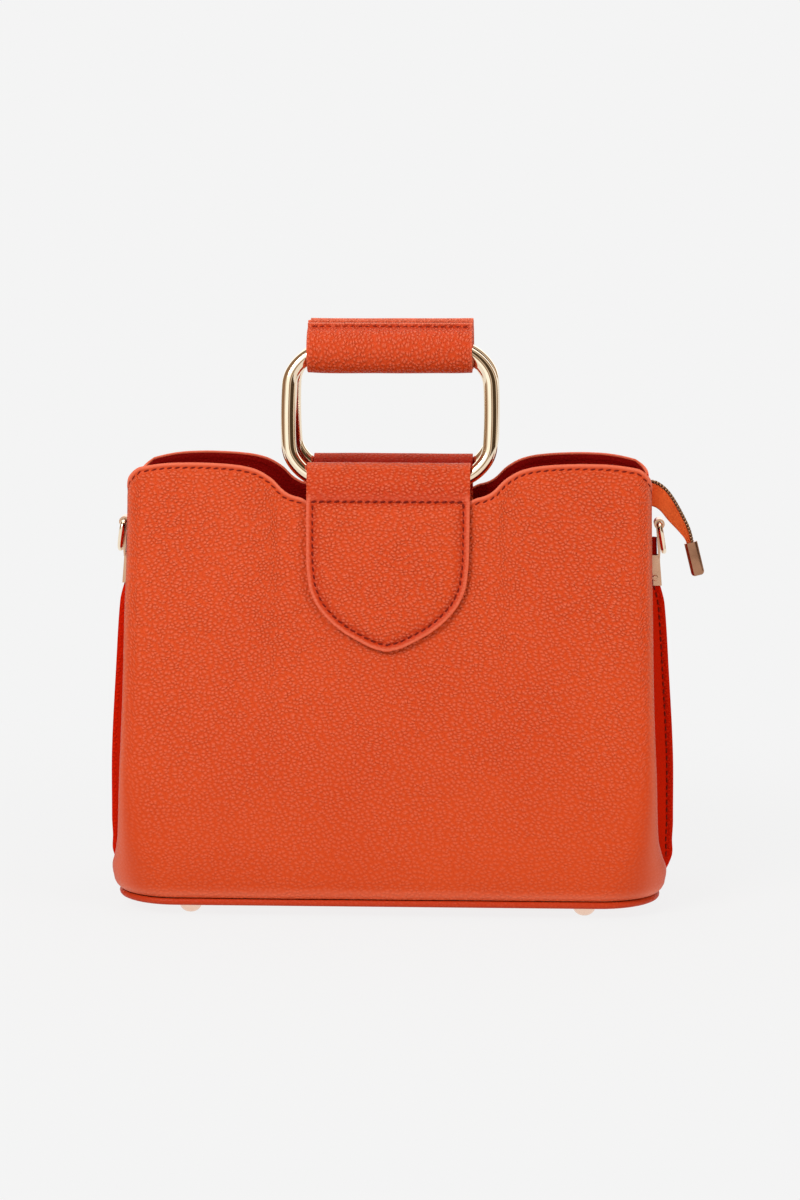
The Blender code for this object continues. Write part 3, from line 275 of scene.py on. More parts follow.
class Bench:
    """Modelling by Blender's own operators."""

    @staticmethod
    def only(piece: Piece) -> None:
        """Leaves one object selected and active.

        Args:
            piece: object to select.
        """
        bpy.ops.object.select_all(action="DESELECT")
        piece.select_set(True)
        bpy.context.view_layer.objects.active = piece

    @staticmethod
    def primitive(name: str, add: Callable[..., Any], **settings: Any) -> Piece:
        """Adds an object by its operator, with nothing else selected.

        Args:
            name: name of the object and its data.
            add: operator that adds it.
            settings: the operator's settings.

        Returns:
            The new object.
        """
        bpy.ops.object.select_all(action="DESELECT")
        add(**settings)
        made = bpy.context.object
        made.name = made.data.name = name
        return made

    @staticmethod
    def paint(piece: Piece, name: str, values: Array) -> None:
        """Stores a mask on a sheet's points."""
        layer = piece.data.attributes.new(name, "FLOAT", "POINT")
        layer.data.foreach_set("value", values.astype(np.float32).ravel())

    @classmethod
    def modify(cls, piece: Piece, kind: str, **settings: Any) -> None:
        """Adds a modifier and applies it.

        Args:
            piece: mesh object to finish.
            kind: modifier type.
            settings: its settings by name.
        """
        cls.only(piece)
        step = piece.modifiers.new(kind.title(), kind)
        for key, value in settings.items():
            setattr(step, key, value)
        bpy.ops.object.modifier_apply(modifier=step.name)

    @classmethod
    def edit(cls, piece: Piece, steps: Callable[[], None]) -> None:
        """Runs edit-mode steps on a piece with all of it selected first.

        Args:
            piece: mesh object.
            steps: calls the edit-mode operators.
        """
        cls.only(piece)
        bpy.ops.object.mode_set(mode="EDIT")
        bpy.ops.mesh.select_all(action="SELECT")
        steps()
        bpy.ops.object.mode_set(mode="OBJECT")

    @classmethod
    def grid(
        cls, name: str, points: Array, outward: Callable[[Array], Array], level: bool = False
    ) -> Piece:
        """Grid primitive whose points are moved onto a surface.

        Args:
            name: piece name.
            points: surface as rows, columns, 3.
            outward: gives the outward direction for points, to set the faces by.
            level: whether each row keeps one distance down, that of its middle point.

        Returns:
            The open sheet, with UV in metres, measured from the middle column and the last row.
        """
        rows, columns = points.shape[:2]
        made = cls.primitive(
            name, bpy.ops.mesh.primitive_grid_add, x_subdivisions=columns - 1, y_subdivisions=rows - 1, size=1
        )
        made.data.vertices.foreach_set("co", points.astype(np.float32).ravel())
        u, v = np.zeros((rows, columns)), np.zeros((rows, columns))
        u[:, 1:] = np.cumsum(np.linalg.norm(np.diff(points, axis=1), axis=2), axis=1)
        v[1:] = np.cumsum(np.linalg.norm(np.diff(points, axis=0), axis=2), axis=0)
        v = np.repeat(v[:, columns // 2, None], columns, 1) if level else v
        u, v = (u - u[:, columns // 2, None]).ravel(), (v - v[-1]).ravel()
        corners = np.empty(len(made.data.loops), np.int32)
        made.data.loops.foreach_get("vertex_index", corners)
        layer = made.data.uv_layers.active.data
        layer.foreach_set("uv", stacked(u[corners], v[corners]).astype(np.float32).ravel())
        made.data.update()
        if np.sum(face_normals(points) * outward(points)) < 0:
            cls.edit(made, bpy.ops.mesh.flip_normals)
        return made

    @classmethod
    def wall(cls, piece: Piece, thickness: float, edge: float, segments: int = 3) -> None:
        """Gives a sheet its thickness inwards and rounds its cut edges.

        Args:
            piece: open sheet.
            thickness: wall thickness.
            edge: bevel width, zero for none.
            segments: bevel segments.
        """
        cls.modify(piece, "SOLIDIFY", thickness=thickness, offset=-1)
        if edge:
            cls.round_edges(piece, edge, segments)
        cls.soften(piece)

    @classmethod
    def round_edges(cls, piece: Piece, width: float, segments: int = 3) -> None:
        """Bevels the edges that turn sharply.

        Args:
            piece: mesh object.
            width: bevel width.
            segments: bevel segments.
        """
        cls.modify(
            piece, "BEVEL", width=width, segments=segments, limit_method="ANGLE", angle_limit=EDGE_ANGLE
        )

    @classmethod
    def soften(cls, piece: Piece, degrees: float = 40) -> None:
        """Smooth shading, sharp only past an angle."""
        cls.only(piece)
        bpy.ops.object.shade_smooth_by_angle(angle=math.radians(degrees))

    @classmethod
    def merge(cls, piece: Piece) -> None:
        """Merges doubled points and turns the faces outwards.

        Args:
            piece: mesh object.
        """

        def steps() -> None:
            """Edit-mode steps."""
            bpy.ops.mesh.remove_doubles(threshold=CLOSE)
            bpy.ops.mesh.normals_make_consistent(inside=False)

        cls.edit(piece, steps)

    @classmethod
    def tube(cls, name: str, path: Array, radius: float, sides: int) -> Piece:
        """Round bar along a closed path.

        Args:
            name: piece name.
            path: points of the closed path.
            radius: bar radius.
            sides: half-circle steps of the section.

        Returns:
            The closed tube as a mesh.
        """
        made = cls.primitive(name, bpy.ops.curve.primitive_bezier_circle_add)
        made.data.dimensions = "3D"
        made.data.splines.clear()
        line = made.data.splines.new("POLY")
        line.points.add(len(path) - 1)
        for point, place in zip(line.points, path):
            point.co = (*place, 1)
        line.use_cyclic_u = True
        made.data.bevel_depth = radius
        made.data.bevel_resolution = sides
        cls.only(made)
        bpy.ops.object.convert(target="MESH")
        made = bpy.context.object
        cls.merge(made)
        cls.soften(made)
        return made

    @classmethod
    def copies(
        cls, name: str, pattern: Piece, places: Array, along: Array, up: Array, slant: float = 0.0
    ) -> Piece:
        """Copies of one modelled shape in one mesh, with the pattern removed.

        Args:
            name: name of the joined piece.
            pattern: shape modelled about the origin, its length along X and its top along Z.
            places: origin of each copy.
            along: unit direction of each copy's X.
            up: direction near each copy's Z.
            slant: turn of each copy about its Z, as sewn stitches have.

        Returns:
            The joined copies.
        """
        along = along * math.cos(slant) + unit(np.cross(up, along)) * math.sin(slant)
        count = len(pattern.data.vertices)
        rest = np.empty(count * 3, np.float32)
        pattern.data.vertices.foreach_get("co", rest)
        rest = rest.reshape(-1, 3).astype(float)
        side = unit(np.cross(up, along))
        top = np.cross(along, side)
        turned = (
            rest[None, :, 0, None] * along[:, None]
            + rest[None, :, 1, None] * side[:, None]
            + rest[None, :, 2, None] * top[:, None]
            + places[:, None]
        )
        faces = [tuple(face.vertices) for face in pattern.data.polygons]
        every = [tuple(v + k * count for v in face) for k in range(len(places)) for face in faces]
        mesh = bpy.data.meshes.new(name)
        mesh.from_pydata(turned.reshape(-1, 3).tolist(), [], every)
        made = bpy.data.objects.new(name, mesh)
        bpy.context.scene.collection.objects.link(made)
        bpy.data.objects.remove(pattern)
        cls.soften(made, 60)
        return made

    @classmethod
    def pill(cls, length: float, width: float, height: float) -> Piece:
        """Small rounded stitch or bead about the origin.

        Args:
            length: size along X.
            width: size along Y.
            height: size along Z.

        Returns:
            The pill.
        """
        made = cls.primitive(
            "pill", bpy.ops.mesh.primitive_uv_sphere_add,
            segments=8, ring_count=5, radius=0.5, rotation=(0, math.pi / 2, 0),
        )
        bpy.ops.object.transform_apply(location=True, rotation=True, scale=True)
        made.data.transform(Matrix.Diagonal((length, width, height, 1)))
        return made

    @classmethod
    def block(cls, name: str, low: Vector, high: Vector, edge: float, segments: int = 2) -> Piece:
        """Box between two corners with rounded edges.

        Args:
            name: piece name.
            low: corner with the least coordinates.
            high: corner with the greatest coordinates.
            edge: bevel width.
            segments: bevel segments.

        Returns:
            The box.
        """
        made = cls.primitive(name, bpy.ops.mesh.primitive_cube_add, size=1)
        made.data.transform(Matrix.Translation((low + high) / 2) @ Matrix.Diagonal((*(high - low), 1)))
        cls.modify(made, "BEVEL", width=edge, segments=segments, limit_method="NONE")
        cls.soften(made)
        return made


def dress(
    piece: Piece,
    material: bpy.types.Material,
    body: Body,
    slot: str,
    *stands_for: str,
) -> Piece:
    """Gives a piece its finish, its body and the CAD nodes that it stands for.

    Args:
        piece: finished mesh object at the origin.
        material: its finish.
        body: body that it rides on.
        slot: the record's material slot; not used.
        stands_for: CAD nodes that it replaces.

    Returns:
        The piece.
    """
    piece.data.materials.clear()
    piece.data.materials.append(material)
    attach(piece, body.value)
    if stands_for:
        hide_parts(*stands_for)
    LOG.info("piece %s: %d faces on %s", piece.name, len(piece.data.polygons), body.value)
    return piece


def sew(
    name: str, line: Array, pitch: float, size: Point, thread: bpy.types.Material, slot: str,
    body: Body = Body.BAG, closed: bool = False, slant: float = 0.0,
) -> None:
    """Lays stitches along a line and dresses them.

    Args:
        name: piece name.
        line: points, with the outward direction in the last three columns.
        pitch: distance between stitches.
        size: a stitch's length as a share of the pitch, its width and its height.
        thread: finish of the stitches.
        slot: the record's material slot.
        body: body that the seam rides on.
        closed: whether the line returns to its start.
        slant: turn of each stitch on the leather.
    """
    places, along = even_steps(line, pitch, closed)
    stitch = Bench.pill(size[0] * pitch, size[1], size[2])
    dress(Bench.copies(name, stitch, places[:, :3], along, places[:, 3:], slant), thread, body, slot)


# ---------------------------------------------------------------- finishes


class Value:
    """A shader socket that takes part in Python arithmetic."""

    def __init__(self, desk: "NodeDesk", socket: bpy.types.NodeSocket) -> None:
        """Holds the socket and the desk that adds nodes to its tree."""
        self.desk = desk
        self.socket = socket

    def _math(self, operation: str, *terms: Any) -> "Value":
        """One Math node on this and other terms."""
        made = self.desk.node("ShaderNodeMath", {"operation": operation}, terms)
        return Value(self.desk, made.outputs[0])

    def __add__(self, other: Any) -> "Value":
        """Sum."""
        return self._math("ADD", self, other)

    def __radd__(self, other: Any) -> "Value":
        """Sum with this on the right."""
        return self._math("ADD", other, self)

    def __sub__(self, other: Any) -> "Value":
        """Difference."""
        return self._math("SUBTRACT", self, other)

    def __rsub__(self, other: Any) -> "Value":
        """Difference with this on the right."""
        return self._math("SUBTRACT", other, self)

    def __mul__(self, other: Any) -> "Value":
        """Product."""
        return self._math("MULTIPLY", self, other)

    def __rmul__(self, other: Any) -> "Value":
        """Product with this on the right."""
        return self._math("MULTIPLY", other, self)

    def __truediv__(self, other: Any) -> "Value":
        """Quotient."""
        return self._math("DIVIDE", self, other)

    def __pow__(self, other: float) -> "Value":
        """Power."""
        return self._math("POWER", self, other)

    def angle(self, other: "Value") -> "Value":
        """Angle in radians whose tangent is this over another."""
        return self._math("ARCTAN2", self, other)

    def sine(self) -> "Value":
        """Sine of the value in radians."""
        return self._math("SINE", self)

    def ramp(self, low: float, high: float) -> "Value":
        """Smooth step from zero at low to one at high.

        Args:
            low: value that gives zero.
            high: value that gives one.

        Returns:
            The step's value.
        """
        made = self.desk.node(
            "ShaderNodeMapRange",
            {"interpolation_type": "SMOOTHSTEP"},
            {"Value": self, "From Min": low, "From Max": high},
        )
        return Value(self.desk, made.outputs["Result"])


class NodeDesk:
    """Builds one material's node tree."""

    def __init__(self, name: str, tree: bpy.types.NodeTree | None = None) -> None:
        """Starts a material with its Principled shader, or takes a tree that is there.

        Args:
            name: name of a new material.
            tree: node tree to work in instead.
        """
        if tree is None:
            self.material = bpy.data.materials.new(name)
            self.material.use_nodes = True
            tree = self.material.node_tree
            self.shader = tree.nodes["Principled BSDF"]
        self.tree = tree

    def node(self, kind: str, settings: dict[str, Any], sockets: Any) -> bpy.types.Node:
        """Adds one node.

        Args:
            kind: node type.
            settings: its own settings by name, set first; "stops" fills a colour ramp.
            sockets: values or links, by input name or in order.

        Returns:
            The node.
        """
        made = self.tree.nodes.new(kind)
        for key, value in settings.items():
            if key == "stops":
                ramp = made.color_ramp
                while len(ramp.elements) < len(value):
                    ramp.elements.new(1)
                for stop, (place, colour) in zip(ramp.elements, value):
                    stop.position = place
                    stop.color = (*colour, 1)
            else:
                setattr(made, key, value)
        pairs = sockets.items() if isinstance(sockets, dict) else enumerate(sockets)
        for key, value in pairs:
            self.feed(made.inputs[key], value)
        return made

    def feed(self, entry: bpy.types.NodeSocket, value: Any) -> None:
        """Links a value or socket into an input, or sets its number.

        Args:
            entry: input to feed.
            value: Value, socket or plain number or colour.
        """
        if isinstance(value, Value):
            value = value.socket
        if isinstance(value, bpy.types.NodeSocket):
            self.tree.links.new(value, entry)
        else:
            entry.default_value = value

    def place(self, source: str = "Object") -> bpy.types.NodeSocket:
        """Coordinates of one kind."""
        return self.node("ShaderNodeTexCoord", {}, {}).outputs[source]

    def along(self, vector: bpy.types.NodeSocket) -> tuple[Value, Value, Value]:
        """The three parts of a vector."""
        made = self.node("ShaderNodeSeparateXYZ", {}, (vector,))
        return tuple(Value(self, made.outputs[i]) for i in range(3))

    def vector(self, operation: str, *terms: Any) -> bpy.types.NodeSocket:
        """One Vector Math node."""
        return self.node("ShaderNodeVectorMath", {"operation": operation}, terms).outputs[0]

    def scaled(self, vector: bpy.types.NodeSocket, by: float) -> bpy.types.NodeSocket:
        """Vector times a number."""
        made = self.node("ShaderNodeVectorMath", {"operation": "SCALE"}, {"Vector": vector, "Scale": by})
        return made.outputs[0]

    def noise(self, vector: bpy.types.NodeSocket, scale: float, detail: float = 2.0) -> Value:
        """Noise from zero to one."""
        made = self.node("ShaderNodeTexNoise", {}, {"Vector": vector, "Scale": scale, "Detail": detail})
        return Value(self, made.outputs[0])

    def attribute(self, name: str) -> Value:
        """A mask stored on the mesh, zero where there is none."""
        return Value(self, self.node("ShaderNodeAttribute", {"attribute_name": name}, {}).outputs["Fac"])

    def mix(self, share: Any, first: Any, second: Any) -> bpy.types.NodeSocket:
        """Colour between two colours.

        Args:
            share: share of the second colour.
            first: colour or socket at share zero.
            second: colour or socket at share one.

        Returns:
            The mixed colour's socket.
        """
        made = self.node("ShaderNodeMix", {"data_type": "RGBA"}, {})
        self.feed(made.inputs[0], share)
        for entry, colour in ((6, first), (7, second)):
            fixed = not isinstance(colour, bpy.types.NodeSocket)
            self.feed(made.inputs[entry], (*colour, 1) if fixed else colour)
        return made.outputs[2]

    def bump(self, height: Value, depth: float, strength: float = 1.0) -> None:
        """Relief on the shader's normal, in metres."""
        made = self.node("ShaderNodeBump", {}, {"Strength": strength, "Distance": depth, "Height": height})
        self.feed(self.shader.inputs["Normal"], made.outputs[0])

    def finish(self, **sockets: Any) -> bpy.types.Material:
        """Sets the shader's sockets, named with underscores, and gives the material.

        Args:
            sockets: value or socket for each named input.

        Returns:
            The material.
        """
        for key, value in sockets.items():
            self.feed(self.shader.inputs[key.replace("_", " ")], value)
        return self.material


@dataclass(frozen=True)
class Leather:
    """Pebbled grained leather. Shares say how far a mask moves the colour."""

    name: str
    crease: Colour
    flesh: Colour
    crown: Colour
    grain: float = 1.85 * MM
    relief: float = 0.52 * MM
    roughness: float = 0.46
    gloss: float = 0.15
    shade: Colour = (0.25, 0.002, 0.0003)
    along_skin: bool = True
    lie: float = math.radians(24)
    stretch: Point = (0.86, 1.16, 1.0)
    wander: float = 1.9 * MM
    crease_share: float = 0.54
    crown_share: float = 0.4
    calming: float = 0.85
    warp_scale: float = 260.0
    pore_scale: float = 2100.0
    slow_scale: float = 60.0
    cloud_scale: float = 18.0

    def cells(self, desk: "NodeDesk", place: bpy.types.NodeSocket) -> tuple[Value, Value]:
        """Distance to the nearest pebble's middle and to its edge.

        Args:
            desk: the material's desk.
            place: object coordinates.

        Returns:
            The two distances, as shares of the grain.
        """
        sockets = {"Vector": place, "Scale": self.warp_scale, "Detail": 2.0}
        drift = desk.node("ShaderNodeTexNoise", {}, sockets)
        shift = desk.scaled(desk.vector("SUBTRACT", drift.outputs["Color"], (0.5, 0.5, 0.5)), self.wander)
        skin, spread = place, {"voronoi_dimensions": "3D"}
        if self.along_skin:
            sockets = {"Vector": desk.place("UV"), "Rotation": (0.0, 0.0, self.lie), "Scale": self.stretch}
            skin = desk.node("ShaderNodeMapping", {}, sockets).outputs[0]
            spread = {"voronoi_dimensions": "2D"}
        sockets = {"Vector": desk.vector("ADD", skin, shift), "Scale": 1 / self.grain, "Randomness": 0.85}
        near, edge = (
            desk.node("ShaderNodeTexVoronoi", {"feature": feature, **spread}, sockets)
            for feature in ("F1", "DISTANCE_TO_EDGE")
        )
        return Value(desk, near.outputs["Distance"]), Value(desk, edge.outputs["Distance"])

    def make(self) -> bpy.types.Material:
        """Builds the material: warped cells, dark creases, pale crowns that are a painted highlight, slow
        tone, edges lightened by a painted highlight and edge paint, and painted shade.

        Returns:
            The material.
        """
        desk = NodeDesk(self.name)
        place = desk.place()
        apart, edge = self.cells(desk, place)
        calm, shaded = desk.attribute("calm"), desk.attribute("shaded")
        fine = desk.noise(place, self.pore_scale, 3.0)
        dome = 1 - (apart + (fine - 0.5) * 0.16).ramp(0.05, 0.62)
        crease = 1 - edge.ramp(0.0, 0.14)
        slow = desk.noise(place, self.slow_scale).ramp(0.3, 0.7)
        firm = (1 - calm * self.calming) * (0.8 + slow * 0.2)
        desk.bump((dome * 0.85 - crease * 0.1 + fine * 0.06) * firm, self.relief)
        cloud = desk.noise(place, self.cloud_scale, 3.0).ramp(0.3, 0.7)
        # Creases and the random cloud tone are the leather's own; the calm share is painted shade, mostly
        # towards the bottom and the side edges.
        dark = crease * firm * self.crease_share + (1 - cloud) * 0.12 + calm * 0.18
        # This mask is painted shade: inside and along seams, on the strap under its loop and below the grip's
        # fin seam.
        dark = dark + desk.attribute("pressed")
        colour = desk.mix(dark, self.flesh, self.crease)
        # Pebble crowns lifted toward a pinkish white: a painted highlight on each pebble top.
        colour = desk.mix(dome * dome * firm * self.crown_share, colour, self.crown)
        # The worn mask is mostly a painted highlight on folded, turned and rim edges, with light edge paint
        # on the grip's fin.
        colour = desk.mix(desk.attribute("worn") * (0.55 + fine * 0.45), colour, self.crown)
        colour = desk.mix(shaded, colour, self.shade)
        matt = self.roughness + crease * 0.16 + (fine - 0.5) * 0.12 + shaded * 0.3
        return desk.finish(Base_Color=colour, Roughness=matt, Specular_IOR_Level=self.gloss)


@dataclass(frozen=True)
class Metal:
    """Plated or bare metal with fine handling marks."""

    name: str
    colour: Colour
    worn: Colour
    roughness: float = 0.045
    scratch_scale: float = 5200.0
    smudge_scale: float = 95.0
    cast_scale: float = 700.0
    relief: float = 0.006 * MM

    def make(self) -> bpy.types.Material:
        """Builds the material: slow tone, fine scratches and soft smudges.

        Returns:
            The material.
        """
        desk = NodeDesk(self.name)
        place = desk.place()
        stretched = desk.vector("MULTIPLY", place, (1.0, 1.0, 0.12))
        lines = desk.noise(stretched, self.scratch_scale)
        smudge = desk.noise(place, self.smudge_scale, 3.0).ramp(0.35, 0.75)
        desk.bump(lines * 0.4 + desk.noise(place, self.cast_scale), self.relief, 0.5)
        colour = desk.mix(smudge * 0.5, self.colour, self.worn)
        return desk.finish(
            Base_Color=colour, Metallic=1.0, Roughness=self.roughness + smudge * 0.05 + lines * 0.03
        )


@dataclass(frozen=True)
class Cloth:
    """Woven tape or lining, patterned along the piece's own UV in metres."""

    name: str
    light: Colour
    deep: Colour
    pitch: float = 0.7 * MM
    relief: float = 0.12 * MM
    twill: bool = True
    yarn_scale: float = 1150.0
    cloud_scale: float = 60.0

    def make(self) -> bpy.types.Material:
        """Builds the material: twill or plain weave, yarn noise and slow tone.

        Returns:
            The material.
        """
        desk = NodeDesk(self.name)
        place = desk.place()
        across, down, _ = desk.along(desk.place("UV"))
        turn = math.tau / self.pitch
        if self.twill:
            ribs = ((across + down) * turn).sine() * 0.5 + (across * turn * 2).sine() * 0.22
        else:
            ribs = (across * turn).sine() * (down * turn).sine() * 0.6
        yarn = desk.noise(place, self.yarn_scale, 3.0)
        desk.bump(ribs + yarn * 0.7, self.relief)
        cloud = desk.noise(place, self.cloud_scale)
        share = 0.5 + ribs * 0.42 + (yarn - 0.5) * 0.7 + (cloud - 0.5) * 0.5 - desk.attribute("shaded") * 1.1
        return desk.finish(
            Base_Color=desk.mix(share, self.deep, self.light),
            Roughness=0.82 + (yarn - 0.5) * 0.2,
            Specular_IOR_Level=0.1,
        )


@dataclass(frozen=True)
class Thread:
    """Waxed sewing thread with a fine ply."""

    name: str
    light: Colour
    deep: Colour
    ply_scale: float = 2400.0
    relief: float = 0.05 * MM

    def make(self) -> bpy.types.Material:
        """Builds the material.

        Returns:
            The material.
        """
        desk = NodeDesk(self.name)
        ply = desk.noise(desk.place(), self.ply_scale)
        desk.bump(ply, self.relief)
        colour = desk.mix(ply, self.deep, self.light)
        return desk.finish(Base_Color=colour, Roughness=0.6 + ply * 0.15, Specular_IOR_Level=0.15)


@dataclass(frozen=True)
class Board:
    """Pressed fibre board or foam."""

    name: str
    light: Colour
    deep: Colour
    grain: float = 900.0
    relief: float = 0.15 * MM

    def make(self) -> bpy.types.Material:
        """Builds the material.

        Returns:
            The material.
        """
        desk = NodeDesk(self.name)
        specks = desk.noise(desk.place(), self.grain, 4.0)
        desk.bump(specks, self.relief)
        colour = desk.mix(specks.ramp(0.3, 0.7), self.deep, self.light)
        return desk.finish(Base_Color=colour, Roughness=0.88 + (specks - 0.5) * 0.1)


class Finishes:
    """Every finish of the bag, built once."""

    def __init__(self) -> None:
        """Builds the materials."""
        self.leather = Leather(
            "grained_orange", (0.42, 0.021, 0.001), (0.60, 0.062, 0.009), (0.78, 0.200, 0.115)
        ).make()
        self.piping = Leather(
            "piped_orange", (0.42, 0.024, 0.003), (0.47, 0.036, 0.006), (0.54, 0.060, 0.018),
            1.7 * MM, 0.1 * MM, along_skin=False,
        ).make()
        # Deep red standing for the orange leather in shade: painted shade on the gussets and the mouth
        # facings.
        self.red = Leather(
            "grained_red", (0.38, 0.006, 0.0008), (0.55, 0.011, 0.0015), (0.62, 0.028, 0.007),
            1.9 * MM, 0.4 * MM, 0.64, 0.0,
        ).make()
        # Near-black red: painted shade inside the bag's mouth and in the gap between the grip's fin layers.
        self.inner = Leather(
            "inner_red", (0.11, 0.001, 0.0008), (0.165, 0.0015, 0.001), (0.21, 0.004, 0.002),
            1.4 * MM, 0.2 * MM, 0.7, 0.04,
        ).make()
        self.gold = Metal("champagne_gold", (0.94, 0.79, 0.60), (0.88, 0.70, 0.50)).make()
        # Gold tinted pink on the clamps and screws: a painted reflection of the red leather beside them.
        self.rose = Metal("rose_gold", (0.68, 0.42, 0.27), (0.54, 0.30, 0.18), 0.2).make()
        self.aged = Metal("aged_gold", (0.42, 0.21, 0.12), (0.15, 0.06, 0.03), 0.16).make()
        self.blush = Metal("blush_gold", (0.94, 0.68, 0.54), (0.86, 0.56, 0.42), 0.24).make()
        self.bronze = Metal("dark_bronze", (0.32, 0.17, 0.09), (0.20, 0.09, 0.05), 0.28).make()
        self.tape = Cloth("tape_twill", (1.0, 0.195, 0.045), (0.62, 0.04, 0.004)).make()
        self.lining = Cloth(
            "lining_weave", (0.34, 0.045, 0.020), (0.20, 0.020, 0.009), 0.9 * MM, 0.1 * MM, False
        ).make()
        self.thread = Thread("seam_thread", (0.22, 0.011, 0.003), (0.10, 0.004, 0.0015)).make()
        self.board = Board("fibre_board", (0.40, 0.36, 0.32), (0.28, 0.25, 0.22)).make()
        self.foam = Board("grip_foam", (0.55, 0.20, 0.12), (0.40, 0.12, 0.07), 1400.0).make()


# ---------------------------------------------------------------- leather body


@dataclass(frozen=True)
class BodyForm:
    """The bag's outline by height: shares of its driving sizes, smoothed."""

    half_width: float = 122.0 * MM
    half_depth: float = 55.0 * MM
    base: float = 8.1 * MM
    top: float = 200.2 * MM
    corner: float = 28.0 * MM
    fin_reach: float = 6.4 * MM
    fin_half: float = 1.5 * MM
    fin_height: float = 3.7 * MM
    gap: float = 0.3 * MM
    stations: Table = (
        (0.0, 1.0, 0.975, 1.0, 0.15),
        (0.022, 1.017, 0.99, 0.985, 0.36),
        (0.05, 1.023, 1.0, 0.93, 0.58),
        (0.09, 1.006, 0.997, 0.7, 0.91),
        (0.137, 0.991, 0.985, 0.48, 1.25),
        (0.295, 0.978, 0.93, 0.25, 1.44),
        (0.52, 0.967, 0.81, 0.22, 1.24),
        (0.655, 0.9625, 0.729, 0.214, 1.02),
        (0.73, 0.96, 0.68, 0.21, 0.56),
        (0.85, 0.958, 0.605, 0.21, 0.45),
        (1.0, 0.957, 0.51, 0.21, 0.1),
    )

    def read(self, height: Array, column: int) -> Array:
        """One column of the stations at heights."""
        share = (np.asarray(height, float) - self.base) / (self.top - self.base)
        return read_table(self.stations, share, column)

    def width_at(self, height: Array) -> Array:
        """Half width."""
        return self.half_width * self.read(height, 1)

    def depth_at(self, height: Array) -> Array:
        """Half depth."""
        return self.half_depth * self.read(height, 2)

    def corner_at(self, height: Array) -> Array:
        """Radius of the upright corners."""
        return self.corner * self.read(height, 3)

    def ridge_at(self, height: Array) -> Array:
        """Reach of the gusset fin's ridge."""
        return self.width_at(height) + self.fin_reach * self.read(height, 4)


